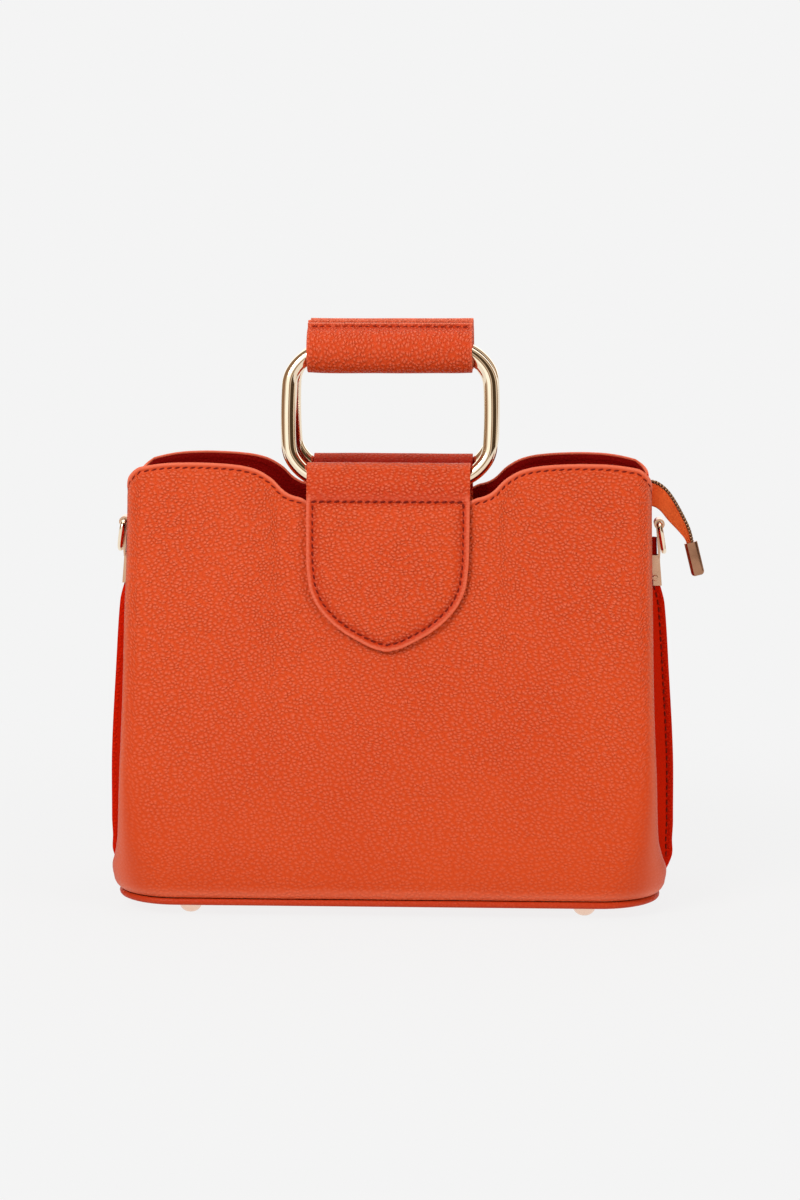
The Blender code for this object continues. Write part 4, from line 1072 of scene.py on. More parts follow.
@dataclass
class Panel:
    """One main panel: lofted leather with a scalloped, stitched top edge."""

    side: Side
    form: BodyForm = BodyForm()
    leather: float = 1.25 * MM
    backing: float = 0.5 * MM
    backing_top: float = 0.8 * MM
    backing_low: float = 150 * MM
    notch_depth: float = 18.2 * MM
    tab_half: float = 37.15 * MM
    stitch_drop: float = 2.3 * MM
    stitch_pitch: float = 3.4 * MM
    flat_columns: int = 141
    corner_columns: int = 18
    wave_length: float = 85 * MM
    wave_height: float = 0.22 * MM
    wave_start: float = 10 * MM
    calm_side: float = 104 * MM
    calm_blend: float = 16 * MM
    calm_height: float = 165 * MM
    calm_fall: float = 150 * MM
    rows_down: int = 92
    edge_relief: Table = ((2.3 * MM, -0.42 * MM, 0.75 * MM), (0.9 * MM, 0.16 * MM, 0.9 * MM))
    hem_relief: Table = ((0.0, -0.3 * MM, 0.9 * MM), (2.6 * MM, 0.25 * MM, 1.5 * MM))
    notch: Table = (
        (0.0, 0.87), (0.03, 0.825), (0.07, 0.785), (0.12, 0.68), (0.2, 0.37), (0.3, 0.15),
        (0.4, 0.06), (0.53, 0.015), (0.66, 0.0),
    )
    crisp_end: Table = ((0.77, 0.004), (0.863, 0.028), (0.954, 0.078), (1.0, 0.115))
    slumped_end: Table = ((0.77, 0.012), (0.863, 0.05), (0.954, 0.125), (1.0, 0.175))
    slumped_corners: Table = ((0.0, 0.175), (0.22, 0.25), (0.5, 0.35), (0.8, 0.47), (1.0, 0.57))
    corners: Table = (
        (0.0, 0.115), (0.12, 0.145), (0.28, 0.20), (0.52, 0.30), (0.69, 0.375), (0.84, 0.46), (1.0, 0.56),
    )

    def columns(self) -> tuple[Array, Array]:
        """Flat and corner shares of the columns, left seam to right seam.

        Returns:
            Share across the flat part, -1 to 1, and signed share round the corner.
        """
        turn = np.linspace(0, 1, self.corner_columns + 1)[1:]
        flat = np.linspace(-1, 1, self.flat_columns)
        flat_share = np.concatenate([-np.ones(len(turn)), flat, np.ones(len(turn))])
        return flat_share, np.concatenate([-turn[::-1], 0 * flat, turn])

    def top_line(self, flat_share: Array, corner_share: Array) -> Array:
        """Height of the top edge over each column.

        Args:
            flat_share: share across the flat part.
            corner_share: signed share round the corner.

        Returns:
            Height of each column's top.
        """
        top = self.form.top
        floor = self.tab_half / float(self.form.width_at(top) - self.form.corner_at(top))
        off_middle = np.abs(flat_share)
        slump = self.side is Side.BACK
        notch = self.notch + (self.slumped_end if slump else self.crisp_end)
        corners = self.slumped_corners if slump else self.corners
        cut = read_table(notch, np.clip((off_middle - floor) / (1 - floor), 0, 1))
        cut = np.where(off_middle < floor, 1 - 0.1 * (off_middle / floor) ** 2, cut)
        cut = np.where(corner_share != 0, read_table(corners, np.abs(corner_share)), cut)
        return top - self.notch_depth * cut

    def surface(self) -> tuple[Array, Array, Array]:
        """Outer surface before its relief.

        Returns:
            Points as rows, columns, 3, rows from the top edge down; normals; distance below the edge.
        """
        flat_share, corner_share = self.columns()
        top = self.top_line(flat_share, corner_share)
        across = flat_share * 0.11 + corner_share * 0.009
        slope = np.sqrt(1 + np.clip(np.gradient(top) / np.gradient(across), -1.4, 1.4) ** 2)
        near = np.concatenate([np.linspace(0, 5, 16), [5.6, 6.4, 7.5, 9.0]]) * MM
        fall = np.linspace(0, 1, self.rows_down)[1:] ** 0.97
        below = top[None] - near[:, None] * slope[None]
        start = below[-1]
        rest = start[None] + (self.form.base - start)[None] * fall[:, None]
        height = np.vstack([below, rest])
        distance = np.vstack([np.repeat(near[:, None], len(top), 1), top[None] - rest])
        radius = self.form.corner_at(height)
        turn = np.abs(corner_share) * math.pi / 2
        x = (self.form.width_at(height) - radius) * flat_share + np.sign(corner_share) * radius * np.sin(turn)
        y = self.form.depth_at(height) - radius + radius * np.cos(turn)
        points = stacked(x, self.side.value * y, height)
        return points, grid_normals(points, self.outward(points)), distance

    def outward(self, points: Array) -> Array:
        """Direction away from the bag's middle."""
        return unit(points * np.array([0.2, 1.0, 0.0]))

    def make(self, finishes: Finishes) -> None:
        """Builds the panel, its backing and its top seam.

        Args:
            finishes: the bag's finishes.
        """
        points, normals, distance = self.surface()
        above = points[..., 2] - self.form.base
        waves = soft_waves(points, self.wave_length, self.wave_height, self.side.value)
        waves = waves * np.clip(distance / self.wave_start, 0, 1)
        relief = humps(distance, self.edge_relief) + humps(above, self.hem_relief) + waves
        shaped = points + normals * relief[..., None]
        sheet = Bench.grid(f"{self.side.word}_panel_leather", shaped, self.outward)
        # The calm mask smooths the grain and also darkens the leather: painted shade, mostly towards the
        # bottom and the side edges.
        reach = np.clip((np.abs(points[..., 0]) - self.calm_side) / self.calm_blend, 0, 1)
        lowness = np.clip((self.calm_height - points[..., 2]) / self.calm_fall, 0, 1) ** 1.4
        calm = bell(np.maximum(distance - self.stitch_drop, 0), 0.9 * MM)
        calm = np.maximum(calm, 0.7 * reach * (0.35 + 0.65 * lowness) + 0.66 * lowness)
        Bench.paint(sheet, "calm", np.clip(calm, 0, 1))
        # The worn mask here is a painted highlight on the folded top edge, the corner turn and the edge above
        # the hem.
        turn = np.abs(self.columns()[1])
        worn = 0.75 * bell(distance - 0.6 * MM, 0.8 * MM) + 0.45 * bell(turn - 0.62, 0.2) * (turn > 0)
        Bench.paint(sheet, "worn", np.clip(worn + 0.7 * bell(above - 2.6 * MM, 0.9 * MM), 0, 1))
        Bench.wall(sheet, self.leather, 0.55 * MM)
        dress(sheet, finishes.leather, Body.BAG, "orange_leather", f"{self.side.word}_panel")
        self.line(shaped, normals, distance, finishes)
        self.seam(shaped, normals, distance, finishes)

    def line(self, points: Array, normals: Array, distance: Array, finishes: Finishes) -> None:
        """Backs the panel's upper part with near-black red leather, painted shade of the bag's mouth, a
        little below the folded edge.

        Args:
            points: the panel's outer surface.
            normals: its normals.
            distance: distance below the top edge.
            finishes: the bag's finishes.
        """
        middle = self.flat_columns // 2
        first = int(np.argmin(np.abs(distance[:, middle] - self.backing_top)))
        last = int(np.argmin(np.abs(points[:, middle, 2] - self.backing_low)))
        inner = (points - normals * (self.leather + 0.02 * MM))[first:last:2, 3:-3]
        sheet = Bench.grid(f"{self.side.word}_panel_backing", inner, self.outward)
        Bench.wall(sheet, self.backing, 0.2 * MM, 2)
        dress(sheet, finishes.inner, Body.BAG, "red_leather")

    def seam(self, points: Array, normals: Array, distance: Array, finishes: Finishes) -> None:
        """Lays the stitches along the top edge, either side of the tab.

        Args:
            points: the panel's outer surface.
            normals: its normals.
            distance: distance below the top edge.
            finishes: the bag's finishes.
        """
        row = int(np.argmin(np.abs(distance[:, self.flat_columns // 2] - self.stitch_drop)))
        line = np.hstack([points[row] + normals[row] * 0.12 * MM, normals[row]])
        for hand in Hand:
            beyond = line[:, 0] * hand.value > self.tab_half + 0.5 * MM
            sew(
                f"{self.side.word}_panel_seam_{hand.word}", line[beyond], self.stitch_pitch,
                (0.74, 0.75 * MM, 0.5 * MM), finishes.thread, "orange_leather", slant=STITCH_SLANT,
            )


@dataclass
class Gusset:
    """One end gusset: a bowed sheet folded outwards into a stitched fin."""

    hand: Hand
    form: BodyForm = BodyForm()
    leather: float = 1.15 * MM
    centre_top: float = 164.5 * MM
    seam_top: float = 190.6 * MM
    stitch_pitch: float = 3.4 * MM
    wave_length: float = 60 * MM
    wave_height: float = 0.3 * MM
    rows: int = 110
    seam_part: float = 1.72

    def section(self) -> tuple[Array, Array]:
        """Part of the section each column lies on, 0 ridge to 3 seam, and its side.

        Returns:
            The part and the side of each column.
        """
        half = np.concatenate([
            np.linspace(0, 1, 7), 1 + np.linspace(0, 1, 11)[1:], 2 + np.linspace(0, 1, 31)[1:] ** 1.35,
        ])
        sign = np.ones(2 * len(half) - 1)
        sign[: len(half) - 1] = -1
        return np.concatenate([half[:0:-1], half]), sign

    def surface(self) -> tuple[Array, Array]:
        """Outer surface, rows from the base up, and its normals.

        Returns:
            Points as rows, columns, 3, and their normals.
        """
        part, sign = self.section()
        flank, wall, turn = (np.clip(part - start, 0, 1) for start in (2, 1, 0))
        top = self.centre_top + (self.seam_top - self.centre_top) * flank**2
        height = self.form.base + (top - self.form.base)[None] * np.linspace(0, 1, self.rows)[:, None]
        edge = self.form.width_at(height)
        seam = self.form.depth_at(height) - self.form.corner_at(height) - self.form.gap
        ridge = self.form.ridge_at(height)
        crown = ridge - np.minimum(ridge - edge, self.form.fin_height)
        half = self.form.fin_half
        tip = ridge - half
        turn = turn * math.pi / 2
        x = np.where(part <= 1, tip + half * np.cos(turn), tip + (crown - tip) * wall)
        x = np.where(part > 2, crown + (edge - crown) * flank**2, x)
        y = np.where(part > 2, half + (seam - half) * flank, half * np.sin(turn) + 0 * height)
        points = np.stack([self.hand.value * x, sign * y, height], 2)
        for _ in range(3):
            points[:, 1:-1] = 0.25 * points[:, :-2] + 0.5 * points[:, 1:-1] + 0.25 * points[:, 2:]
        return points, grid_normals(points, self.outward(points))

    def outward(self, points: Array) -> Array:
        """Direction out of the end of the bag."""
        return 0 * points + np.array([float(self.hand.value), 0.0, 0.0])

    def make(self, finishes: Finishes) -> None:
        """Builds the gusset and the two faces of its fin seam.

        Args:
            finishes: the bag's finishes.
        """
        points, normals = self.surface()
        part, sign = self.section()
        waves = soft_waves(points, self.wave_length, self.wave_height, 2.0 + self.hand.value)
        waves = waves * np.clip(part - 2, 0, 1) * np.clip(3 - part, 0, 0.3) / 0.3
        shaped = points + normals * waves[..., None]
        sheet = Bench.grid(f"{self.hand.word}_gusset_leather", shaped, self.outward)
        Bench.wall(sheet, self.leather, 0.35 * MM, 2)
        # The gusset takes the deep red that paints the orange leather's shade.
        dress(sheet, finishes.red, Body.BAG, "red_leather", f"{self.hand.word}_gusset")
        for side in Side:
            column = int(np.argmin(np.abs(part - self.seam_part) + (sign != side.value) * 9))
            out = normals[4:-3, column]
            line = np.hstack([shaped[4:-3, column] + out * 0.1 * MM, out])
            sew(
                f"{self.hand.word}_fin_seam_{side.word}", line, self.stitch_pitch,
                (0.72, 0.75 * MM, 0.42 * MM), finishes.thread, "red_leather",
            )


@dataclass
class Base:
    """Base panel, board, piped welt and four domed feet."""

    form: BodyForm = BodyForm()
    welt: float = 1.6 * MM
    panel_bottom: float = 4.5 * MM
    leather: float = 1.8 * MM
    board: float = 1.8 * MM
    foot_x: float = 88.0 * MM
    foot_y: float = 43.0 * MM
    foot_radius: float = 5.2 * MM
    foot_height: float = 4.2 * MM

    def outline(self, inset: float) -> Array:
        """Rounded outline of the base, set in by a distance, as x, y.

        Args:
            inset: distance that the outline is set in by.

        Returns:
            Points as x, y.
        """
        base = self.form.base
        radius = float(self.form.corner_at(base)) - inset
        across = float(self.form.width_at(base)) - inset - radius
        deep = float(self.form.depth_at(base)) - inset - radius
        return rounded_outline(across, deep, radius, 14)

    def plate(self, name: str, bottom: float, thickness: float, edge: float) -> Piece:
        """Flat plate of the base outline with rounded edges.

        Args:
            name: piece name.
            bottom: height of its underside.
            thickness: its thickness.
            edge: bevel width.

        Returns:
            The plate.
        """
        outline = self.outline(self.welt * 2 + self.form.gap)
        made = Bench.primitive(
            name, bpy.ops.mesh.primitive_circle_add, vertices=len(outline), fill_type="NGON"
        )
        places = np.hstack([outline, np.full((len(outline), 1), bottom)])
        made.data.vertices.foreach_set("co", places.astype(np.float32).ravel())

        def steps() -> None:
            """Edit-mode steps."""
            bpy.ops.mesh.extrude_region_move(TRANSFORM_OT_translate={"value": (0, 0, thickness)})
            bpy.ops.mesh.select_all(action="SELECT")
            bpy.ops.mesh.normals_make_consistent(inside=False)

        Bench.edit(made, steps)
        Bench.round_edges(made, edge)
        Bench.soften(made)
        return made

    def foot(self, side: Side, hand: Hand) -> Piece:
        """Domed foot: a sphere cut flat above and below.

        Args:
            side: face of the bag that it is near.
            hand: end of the bag that it is near.

        Returns:
            The foot.
        """
        made = Bench.primitive(
            f"foot_dome_{side.word}_{hand.word}", bpy.ops.mesh.primitive_uv_sphere_add,
            segments=32, ring_count=20, radius=1,
        )
        size = (self.foot_radius, self.foot_radius, self.foot_height * 1.12, 1)
        made.data.transform(Matrix.Translation((0, 0, self.foot_height)) @ Matrix.Diagonal(size))

        def steps() -> None:
            """Edit-mode steps."""
            for height, above in ((self.foot_height, True), (0.0, False)):
                bpy.ops.mesh.select_all(action="SELECT")
                bpy.ops.mesh.bisect(
                    plane_co=(0, 0, height), plane_no=(0, 0, 1), use_fill=True,
                    clear_outer=above, clear_inner=not above,
                )

        Bench.edit(made, steps)
        made.data.transform(Matrix.Translation((hand.value * self.foot_x, side.value * self.foot_y, 0)))
        Bench.merge(made)
        Bench.soften(made, 30)
        return made

    def make(self, finishes: Finishes, nodes: Nodes) -> None:
        """Builds the base's pieces.

        Args:
            finishes: the bag's finishes.
            nodes: CAD nodes by name.
        """
        panel = self.plate("base_leather", self.panel_bottom, self.leather, 0.5 * MM)
        dress(panel, finishes.piping, Body.BAG, "orange_leather", "base_panel")
        path = self.outline(self.welt)
        level = self.form.base - self.form.gap - self.welt
        path = np.hstack([path, np.full((len(path), 1), level)])
        keep = np.linalg.norm(path - np.roll(path, 1, axis=0), axis=1) > CLOSE
        welt = Bench.tube("base_piping", path[keep], self.welt, 5)
        dress(welt, finishes.piping, Body.BAG, "orange_leather", "base_welt")
        nodes["base_board"].material_slots[0].material = finishes.board
        for side in Side:
            for hand in Hand:
                node = f"foot_{side.word}_{hand.word}"
                dress(self.foot(side, hand), finishes.blush, Body.BAG, "pale_gold", node)


# ---------------------------------------------------------------- shield tabs


@dataclass
class ShieldTab:
    """Strap over the handle ring that ends in a puffed, stitched shield."""

    side: Side
    form: BodyForm = BodyForm()
    half: float = 36.3 * MM
    loop_y: float = 21.991 * MM
    loop_height: float = 191.7 * MM
    loop_radius: float = 8.2 * MM
    wall: float = 1.4 * MM
    leather: float = 2.2 * MM
    stitch_height: float = 183.5 * MM
    length: float = 65.2 * MM
    inner_end: float = 173.0 * MM
    puff: float = 1.9 * MM
    rim: float = 2.9 * MM
    stitch_pitch: float = 3.4 * MM
    inner_offset: float = 3.7 * MM
    face_bend: float = 2.3 * MM
    face_rows: int = 86
    strap_calm: float = 186.2 * MM
    crowding: float = 1.15
    puff_width: float = 3.6 * MM
    wave_length: float = 40 * MM
    wave_height: float = 0.1 * MM
    rim_relief: Table = ((0.0, -0.55 * MM, 0.62 * MM), (-1.45 * MM, 0.14 * MM, 1.0 * MM))
    outline: Table = (
        (0.0, 1.0), (0.36, 0.995), (0.55, 0.965), (0.678, 0.88), (0.775, 0.745),
        (0.858, 0.575), (0.935, 0.34), (0.985, 0.14), (1.0, 0.02),
    )

    def face_at(self, height: Array) -> Array:
        """Depth of the shield's outer face at heights."""
        return self.form.depth_at(height) + self.form.gap + self.leather

    def rows(self) -> tuple[Array, Array, Array]:
        """Path of the outer face: y without side, z, and the shield's width shares.

        Returns:
            Depths without the side's sign, heights and width shares, one for each row.
        """
        back = float(self.form.depth_at(self.inner_end)) - self.inner_offset
        up = float(self.form.depth_at(self.stitch_height)) - self.inner_offset
        control = [(back, self.inner_end), (up, self.stitch_height - self.wall)]
        turn = np.radians(np.arange(248, 517, 12))
        control += list(zip(
            self.loop_y - np.cos(turn) * self.loop_radius, self.loop_height + np.sin(turn) * self.loop_radius
        ))
        face = float(self.face_at(self.stitch_height))
        control += [(face - self.face_bend, self.stitch_height + 5.6 * MM), (face, self.stitch_height)]
        path = smooth_path(np.array(control), 1)
        down = np.concatenate([np.linspace(0, 0.9, 66)[1:], np.linspace(0.9, 1, 22)[1:]])
        height = self.stitch_height - self.length * down
        share = np.concatenate([np.ones(len(path)), read_table(self.outline, down)])
        both = np.vstack([path, stacked(self.face_at(height), height)])
        return both[:, 0], both[:, 1], share

    def stitch_loop(self) -> Array:
        """Closed stitch line in the shield's own plane, as x, z.

        Returns:
            Points as x, z.
        """
        down = np.concatenate([np.linspace(0, 0.9, 60), np.linspace(0.9, 1, 20)[1:]])
        run = stacked(self.half * read_table(self.outline, down), self.stitch_height - self.length * down)
        tangent = unit(np.gradient(run, axis=0))
        inner = run + stacked(tangent[:, 1], -tangent[:, 0]) * self.rim
        inner = inner[inner[:, 0] > 0.2 * MM]
        tip = np.array([[0.0, inner[-1, 1] - 0.3 * MM]])
        return np.vstack([inner, tip, inner[::-1] * np.array([-1.0, 1.0])])

    def inside_loop(self, x: Array, z: Array, loop: Array) -> Array:
        """Distance to the stitch loop, positive inside it.

        Args:
            x: places across.
            z: heights.
            loop: closed loop as x, z.

        Returns:
            Signed distances, shaped as x is.
        """
        here = stacked(x.ravel(), z.ravel())
        best = np.full(len(here), 1.0)
        inside = np.zeros(len(here), bool)
        for a, b in zip(loop, np.roll(loop, -1, axis=0)):
            span = b - a
            share = np.clip((here - a) @ span / max(span @ span, 1e-18), 0, 1)
            best = np.minimum(best, np.linalg.norm(here - a - share[:, None] * span, axis=1))
            crosses = (a[1] > here[:, 1]) != (b[1] > here[:, 1])
            rise = np.where(b[1] == a[1], 1.0, b[1] - a[1])
            inside ^= crosses & (here[:, 0] < (b[0] - a[0]) * (here[:, 1] - a[1]) / rise + a[0])
        return np.where(inside, best, -best).reshape(x.shape)

    def make(self, finishes: Finishes) -> None:
        """Builds the tab and its stitch loop.

        Args:
            finishes: the bag's finishes.
        """
        y, z, share = (values[:, None] for values in self.rows())
        cross = np.linspace(-1, 1, 79)
        cross = np.sign(cross) * (1 - (1 - np.abs(cross)) ** self.crowding)
        points = stacked(self.half * share * cross, self.side.value * y, z)
        tangent = unit(np.gradient(np.hstack([y, z]), axis=0))
        normal = stacked(tangent[:, 1], -tangent[:, 0])
        normal = normal if normal[-20, 0] >= 0 else -normal
        normals = np.zeros_like(points)
        normals[..., 1] = self.side.value * normal[:, 0][:, None]
        normals[..., 2] = normal[:, 1][:, None]
        loop = self.stitch_loop()
        gap = self.inside_loop(points[..., 0], points[..., 2], loop)
        inside = gap > 0
        on_face = (np.arange(len(y)) >= len(y) - self.face_rows - 8)[:, None]
        outer, over_stitch = y > self.loop_y, z - self.stitch_height
        dome = np.where(inside, self.puff * (1 - np.exp(-np.maximum(gap, 0) / self.puff_width)), 0)
        relief = np.where(on_face, humps(gap, self.rim_relief) + dome, 0)
        relief = relief + soft_waves(points, self.wave_length, self.wave_height, 4.0)
        tuck = -0.75 * MM * bell(over_stitch - 1.4 * MM, 3.2 * MM) * outer
        relief = relief + tuck * np.clip(1 - gap / (2.0 * MM), 0, 1)
        shaped = points + normals * relief[..., None]
        sheet = Bench.grid(f"{self.side.word}_tab_leather", shaped, lambda _: normals, level=True)
        calm = np.where(on_face, np.clip(1 - (gap + 0.4 * MM) / (1.2 * MM), 0, 1) * (z < self.strap_calm), 0)
        Bench.paint(sheet, "calm", calm * 0.75)
        leg = np.clip((self.loop_y + 1.5 * MM - y) / (8.5 * MM), 0, 1)
        Bench.paint(sheet, "shaded", leg * 0.95 + 0 * gap)
        # The worn mask here is a painted highlight on the shield's outer rim, with a faint lift over the
        # strap.
        Bench.paint(sheet, "worn", np.where(on_face, 0.6 * bell(gap + self.rim * 0.75, 0.6 * MM), 0.12))
        # Painted shade just inside the shield's seam and on the rim band outside it, and on the strap under
        # its loop.
        seam_shade = np.where(inside, 0.42 * bell(gap, 2.6 * MM), 0.22 + 0.4 * bell(gap, 0.9 * MM)) * on_face
        low_strap = 0.45 * bell(over_stitch - 2.0 * MM, 7.0 * MM) * outer
        Bench.paint(sheet, "pressed", np.where(inside, seam_shade, np.maximum(seam_shade, low_strap)))
        Bench.wall(sheet, self.wall, 0.5 * MM)
        dress(sheet, finishes.leather, Body.BAG, "orange_leather", f"{self.side.word}_tab")
        line = stacked(loop[:, 0], self.side.value * (self.face_at(loop[:, 1]) - 0.3 * MM), loop[:, 1])
        out = 0 * line + np.array([0.0, float(self.side.value), 0.25])
        sew(
            f"{self.side.word}_tab_seam", np.hstack([line, out]), self.stitch_pitch,
            (0.72, 0.95 * MM, 0.5 * MM), finishes.thread, "orange_leather", closed=True, slant=STITCH_SLANT,
        )


# ---------------------------------------------------------------- handles


@dataclass
class Handle:
    """Ring handle with a foam-cored leather grip, built upright and leaned inwards."""

    side: Side
    loop_y: float = 21.991 * MM
    loop_height: float = 191.7 * MM
    half_width: float = 43.6 * MM
    height: float = 58.3 * MM
    corner: float = 15.8 * MM
    bulge: float = 1.7 * MM
    tube: float = 3.3 * MM
    lean: float = math.radians(9.97)
    grip_half: float = 36.8 * MM
    grip_radius: float = 10.2 * MM
    cover: float = 1.7 * MM
    fin_top: float = 13.3 * MM
    fin_step: float = 1.35 * MM
    fin_seam: float = 3.1 * MM
    grip_end: float = 36.7 * MM
    stitch_pitch: float = 3.3 * MM
    wave_length: float = 45 * MM
    wave_height: float = 0.16 * MM
    end_dip: float = 0.25 * MM
    seam_dip: float = 0.28 * MM
    fin_face: float = 2.02 * MM

    @property
    def body(self) -> Body:
        """Body that the handle is."""
        return Body.FRONT_HANDLE if self.side is Side.FRONT else Body.BACK_HANDLE

    def posed(self, points: Array) -> Array:
        """Points of the upright handle in the bag's frame.

        Args:
            points: points of the upright handle, its lower bar at the origin.

        Returns:
            The same points in place.
        """
        turn = self.side.value * self.lean
        y = points[..., 1] * math.cos(turn) - points[..., 2] * math.sin(turn)
        z = points[..., 1] * math.sin(turn) + points[..., 2] * math.cos(turn)
        return np.stack([points[..., 0], y + self.side.value * self.loop_y, z + self.loop_height], -1)

    @property
    def placing(self) -> Matrix:
        """Move of the upright handle into the bag's frame."""
        lean = Matrix.Rotation(self.side.value * self.lean, 4, "X")
        return Matrix.Translation((0, self.side.value * self.loop_y, self.loop_height)) @ lean

    def ring_path(self) -> Array:
        """Closed path of the ring's bar, upright.

        Returns:
            Points of the path.
        """
        half = self.height / 2
        across, up = self.half_width - self.corner, half - self.corner
        outline = rounded_outline(across, up, self.corner, 20, (0, 12, 0, 12))
        outer = np.clip((np.abs(outline[:, 0]) - self.grip_end) / (6 * MM), 0, 1)
        bulge = self.bulge * (1 - (outline[:, 1] / half) ** 2) * outer
        return stacked(outline[:, 0] + np.sign(outline[:, 0]) * bulge, 0, outline[:, 1] + half)

    def grip_section(self) -> Array:
        """Section of the leather wrap, one fin edge round to the other, as y, z about the bar.

        Returns:
            Points as y, z, evenly spread.
        """
        spread = math.radians(26)
        turn = math.pi / 2 - spread - (math.tau - 2 * spread) * np.linspace(0, 1, 61)
        rise = np.array([
            (2.45 * MM, self.fin_top), (2.1 * MM, self.fin_top - 1.3 * MM),
            (2.1 * MM, self.grip_radius * 1.02), (2.9 * MM, self.grip_radius * 0.97),
        ])
        other = (rise * np.array([-1, 1]))[::-1]
        lowered = rise if self.side is Side.BACK else other[::-1]
        lowered[:2, 1] -= self.fin_step
        control = np.vstack([rise, stacked(np.cos(turn), np.sin(turn)) * self.grip_radius, other])
        return resampled(smooth_path(control, 2), 150)

    def make(self, finishes: Finishes) -> None:
        """Builds the ring, the grip's core, its wrap and its seams.

        Args:
            finishes: the bag's finishes.
        """
        word = self.side.word
        ring = Bench.tube(f"{word}_ring_bar", self.posed(self.ring_path()), self.tube, 10)
        dress(ring, finishes.gold, self.body, "pale_gold", f"{word}_handle_ring")
        self.core(finishes)
        # A near-black strip between the fin's two layers: painted shade of the gap between them.
        reach, top = self.grip_half - 0.5 * MM, self.height + self.fin_top
        low, high = Vector((-reach, -0.75 * MM, top - 3.0 * MM)), Vector((reach, 0.75 * MM, top - 0.8 * MM))
        fold = Bench.block(f"{word}_grip_fold", low, high, 0.3 * MM)
        fold.data.transform(self.placing)
        dress(fold, finishes.inner, self.body, "orange_leather")
        self.wrap(finishes)
        self.seams(finishes)

    def wrap(self, finishes: Finishes) -> None:
        """Builds the leather cover of the grip.

        Args:
            finishes: the bag's finishes.
        """
        section = self.grip_section()
        run = np.linspace(-self.grip_half, self.grip_half, 61)[:, None]
        flat = stacked(run, section[:, 0], section[:, 1])
        z = flat[..., 2]
        from_end = self.grip_half - np.abs(flat[..., 0])
        slump = soft_waves(flat, self.wave_length, self.wave_height, 1.0 + self.side.value)
        slump = slump - self.end_dip * bell(from_end, 5 * MM)
        above_seam = z - (self.fin_top - self.fin_seam)
        seam = -self.seam_dip * bell(above_seam, 0.7 * MM) * (z > self.grip_radius)
        out = grid_normals(flat, flat * np.array([0, 1, 1]))
        lift = np.array([0, 0, self.height])
        centre = self.posed(flat * np.array([1, 0, 0]) + lift)
        shaped = self.posed(flat + out * (slump + seam)[..., None] + lift)
        cover = Bench.grid(f"{self.side.word}_grip_leather", shaped, lambda points: points - centre)
        from_edge = run_along(section)
        from_edge = np.minimum(from_edge, from_edge[-1] - from_edge)
        # The worn mask here is light edge paint on the fin's cut edges, with a painted highlight there and at
        # the grip's ends.
        worn = 0.85 * bell(from_edge, 0.6 * MM) + 0.35 * bell(from_end, MM)
        Bench.paint(cover, "worn", np.clip(worn, 0, 1))
        # Painted shade: a band just below the fin seam, over a slight darkening of the whole cover.
        Bench.paint(cover, "pressed", 0.16 + 0.3 * bell(z - (self.fin_top - 3.6 * MM), 1.2 * MM))
        Bench.wall(cover, self.cover * 0.92, 0.5 * MM)
        dress(cover, finishes.leather, self.body, "orange_leather", f"{self.side.word}_grip_cover")

    def core(self, finishes: Finishes) -> None:
        """Builds the foam core.

        Args:
            finishes: the bag's finishes.
        """
        made = Bench.primitive(
            f"{self.side.word}_grip_foam", bpy.ops.mesh.primitive_cylinder_add, vertices=48,
            radius=self.grip_radius - self.cover - 0.3 * MM, depth=(self.grip_half - 0.6 * MM) * 2,
            rotation=(0, math.pi / 2, 0),
        )
        bpy.ops.object.transform_apply(location=True, rotation=True, scale=True)
        Bench.round_edges(made, 0.9 * MM)
        Bench.soften(made)
        made.data.transform(self.placing @ Matrix.Translation((0, 0, self.height)))
        dress(made, finishes.foam, self.body, "soft_foam", f"{self.side.word}_grip_core")

    def seams(self, finishes: Finishes) -> None:
        """Lays the fin's stitches on its two faces.

        Args:
            finishes: the bag's finishes.
        """
        reach = self.grip_half - 1.5 * MM
        level = self.height + self.fin_top - self.fin_seam
        for face in Side:
            line = stacked(np.linspace(-reach, reach, 40), face.value * self.fin_face, level)
            posed = self.posed(line)
            out = unit(self.posed(line + np.array([0, face.value * MM, 0])) - posed)
            sew(
                f"{self.side.word}_grip_seam_{face.word}", np.hstack([posed, out]), self.stitch_pitch,
                (0.7, 0.9 * MM, 0.5 * MM), finishes.thread, "orange_leather", self.body,
            )


# ---------------------------------------------------------------- inside and zip


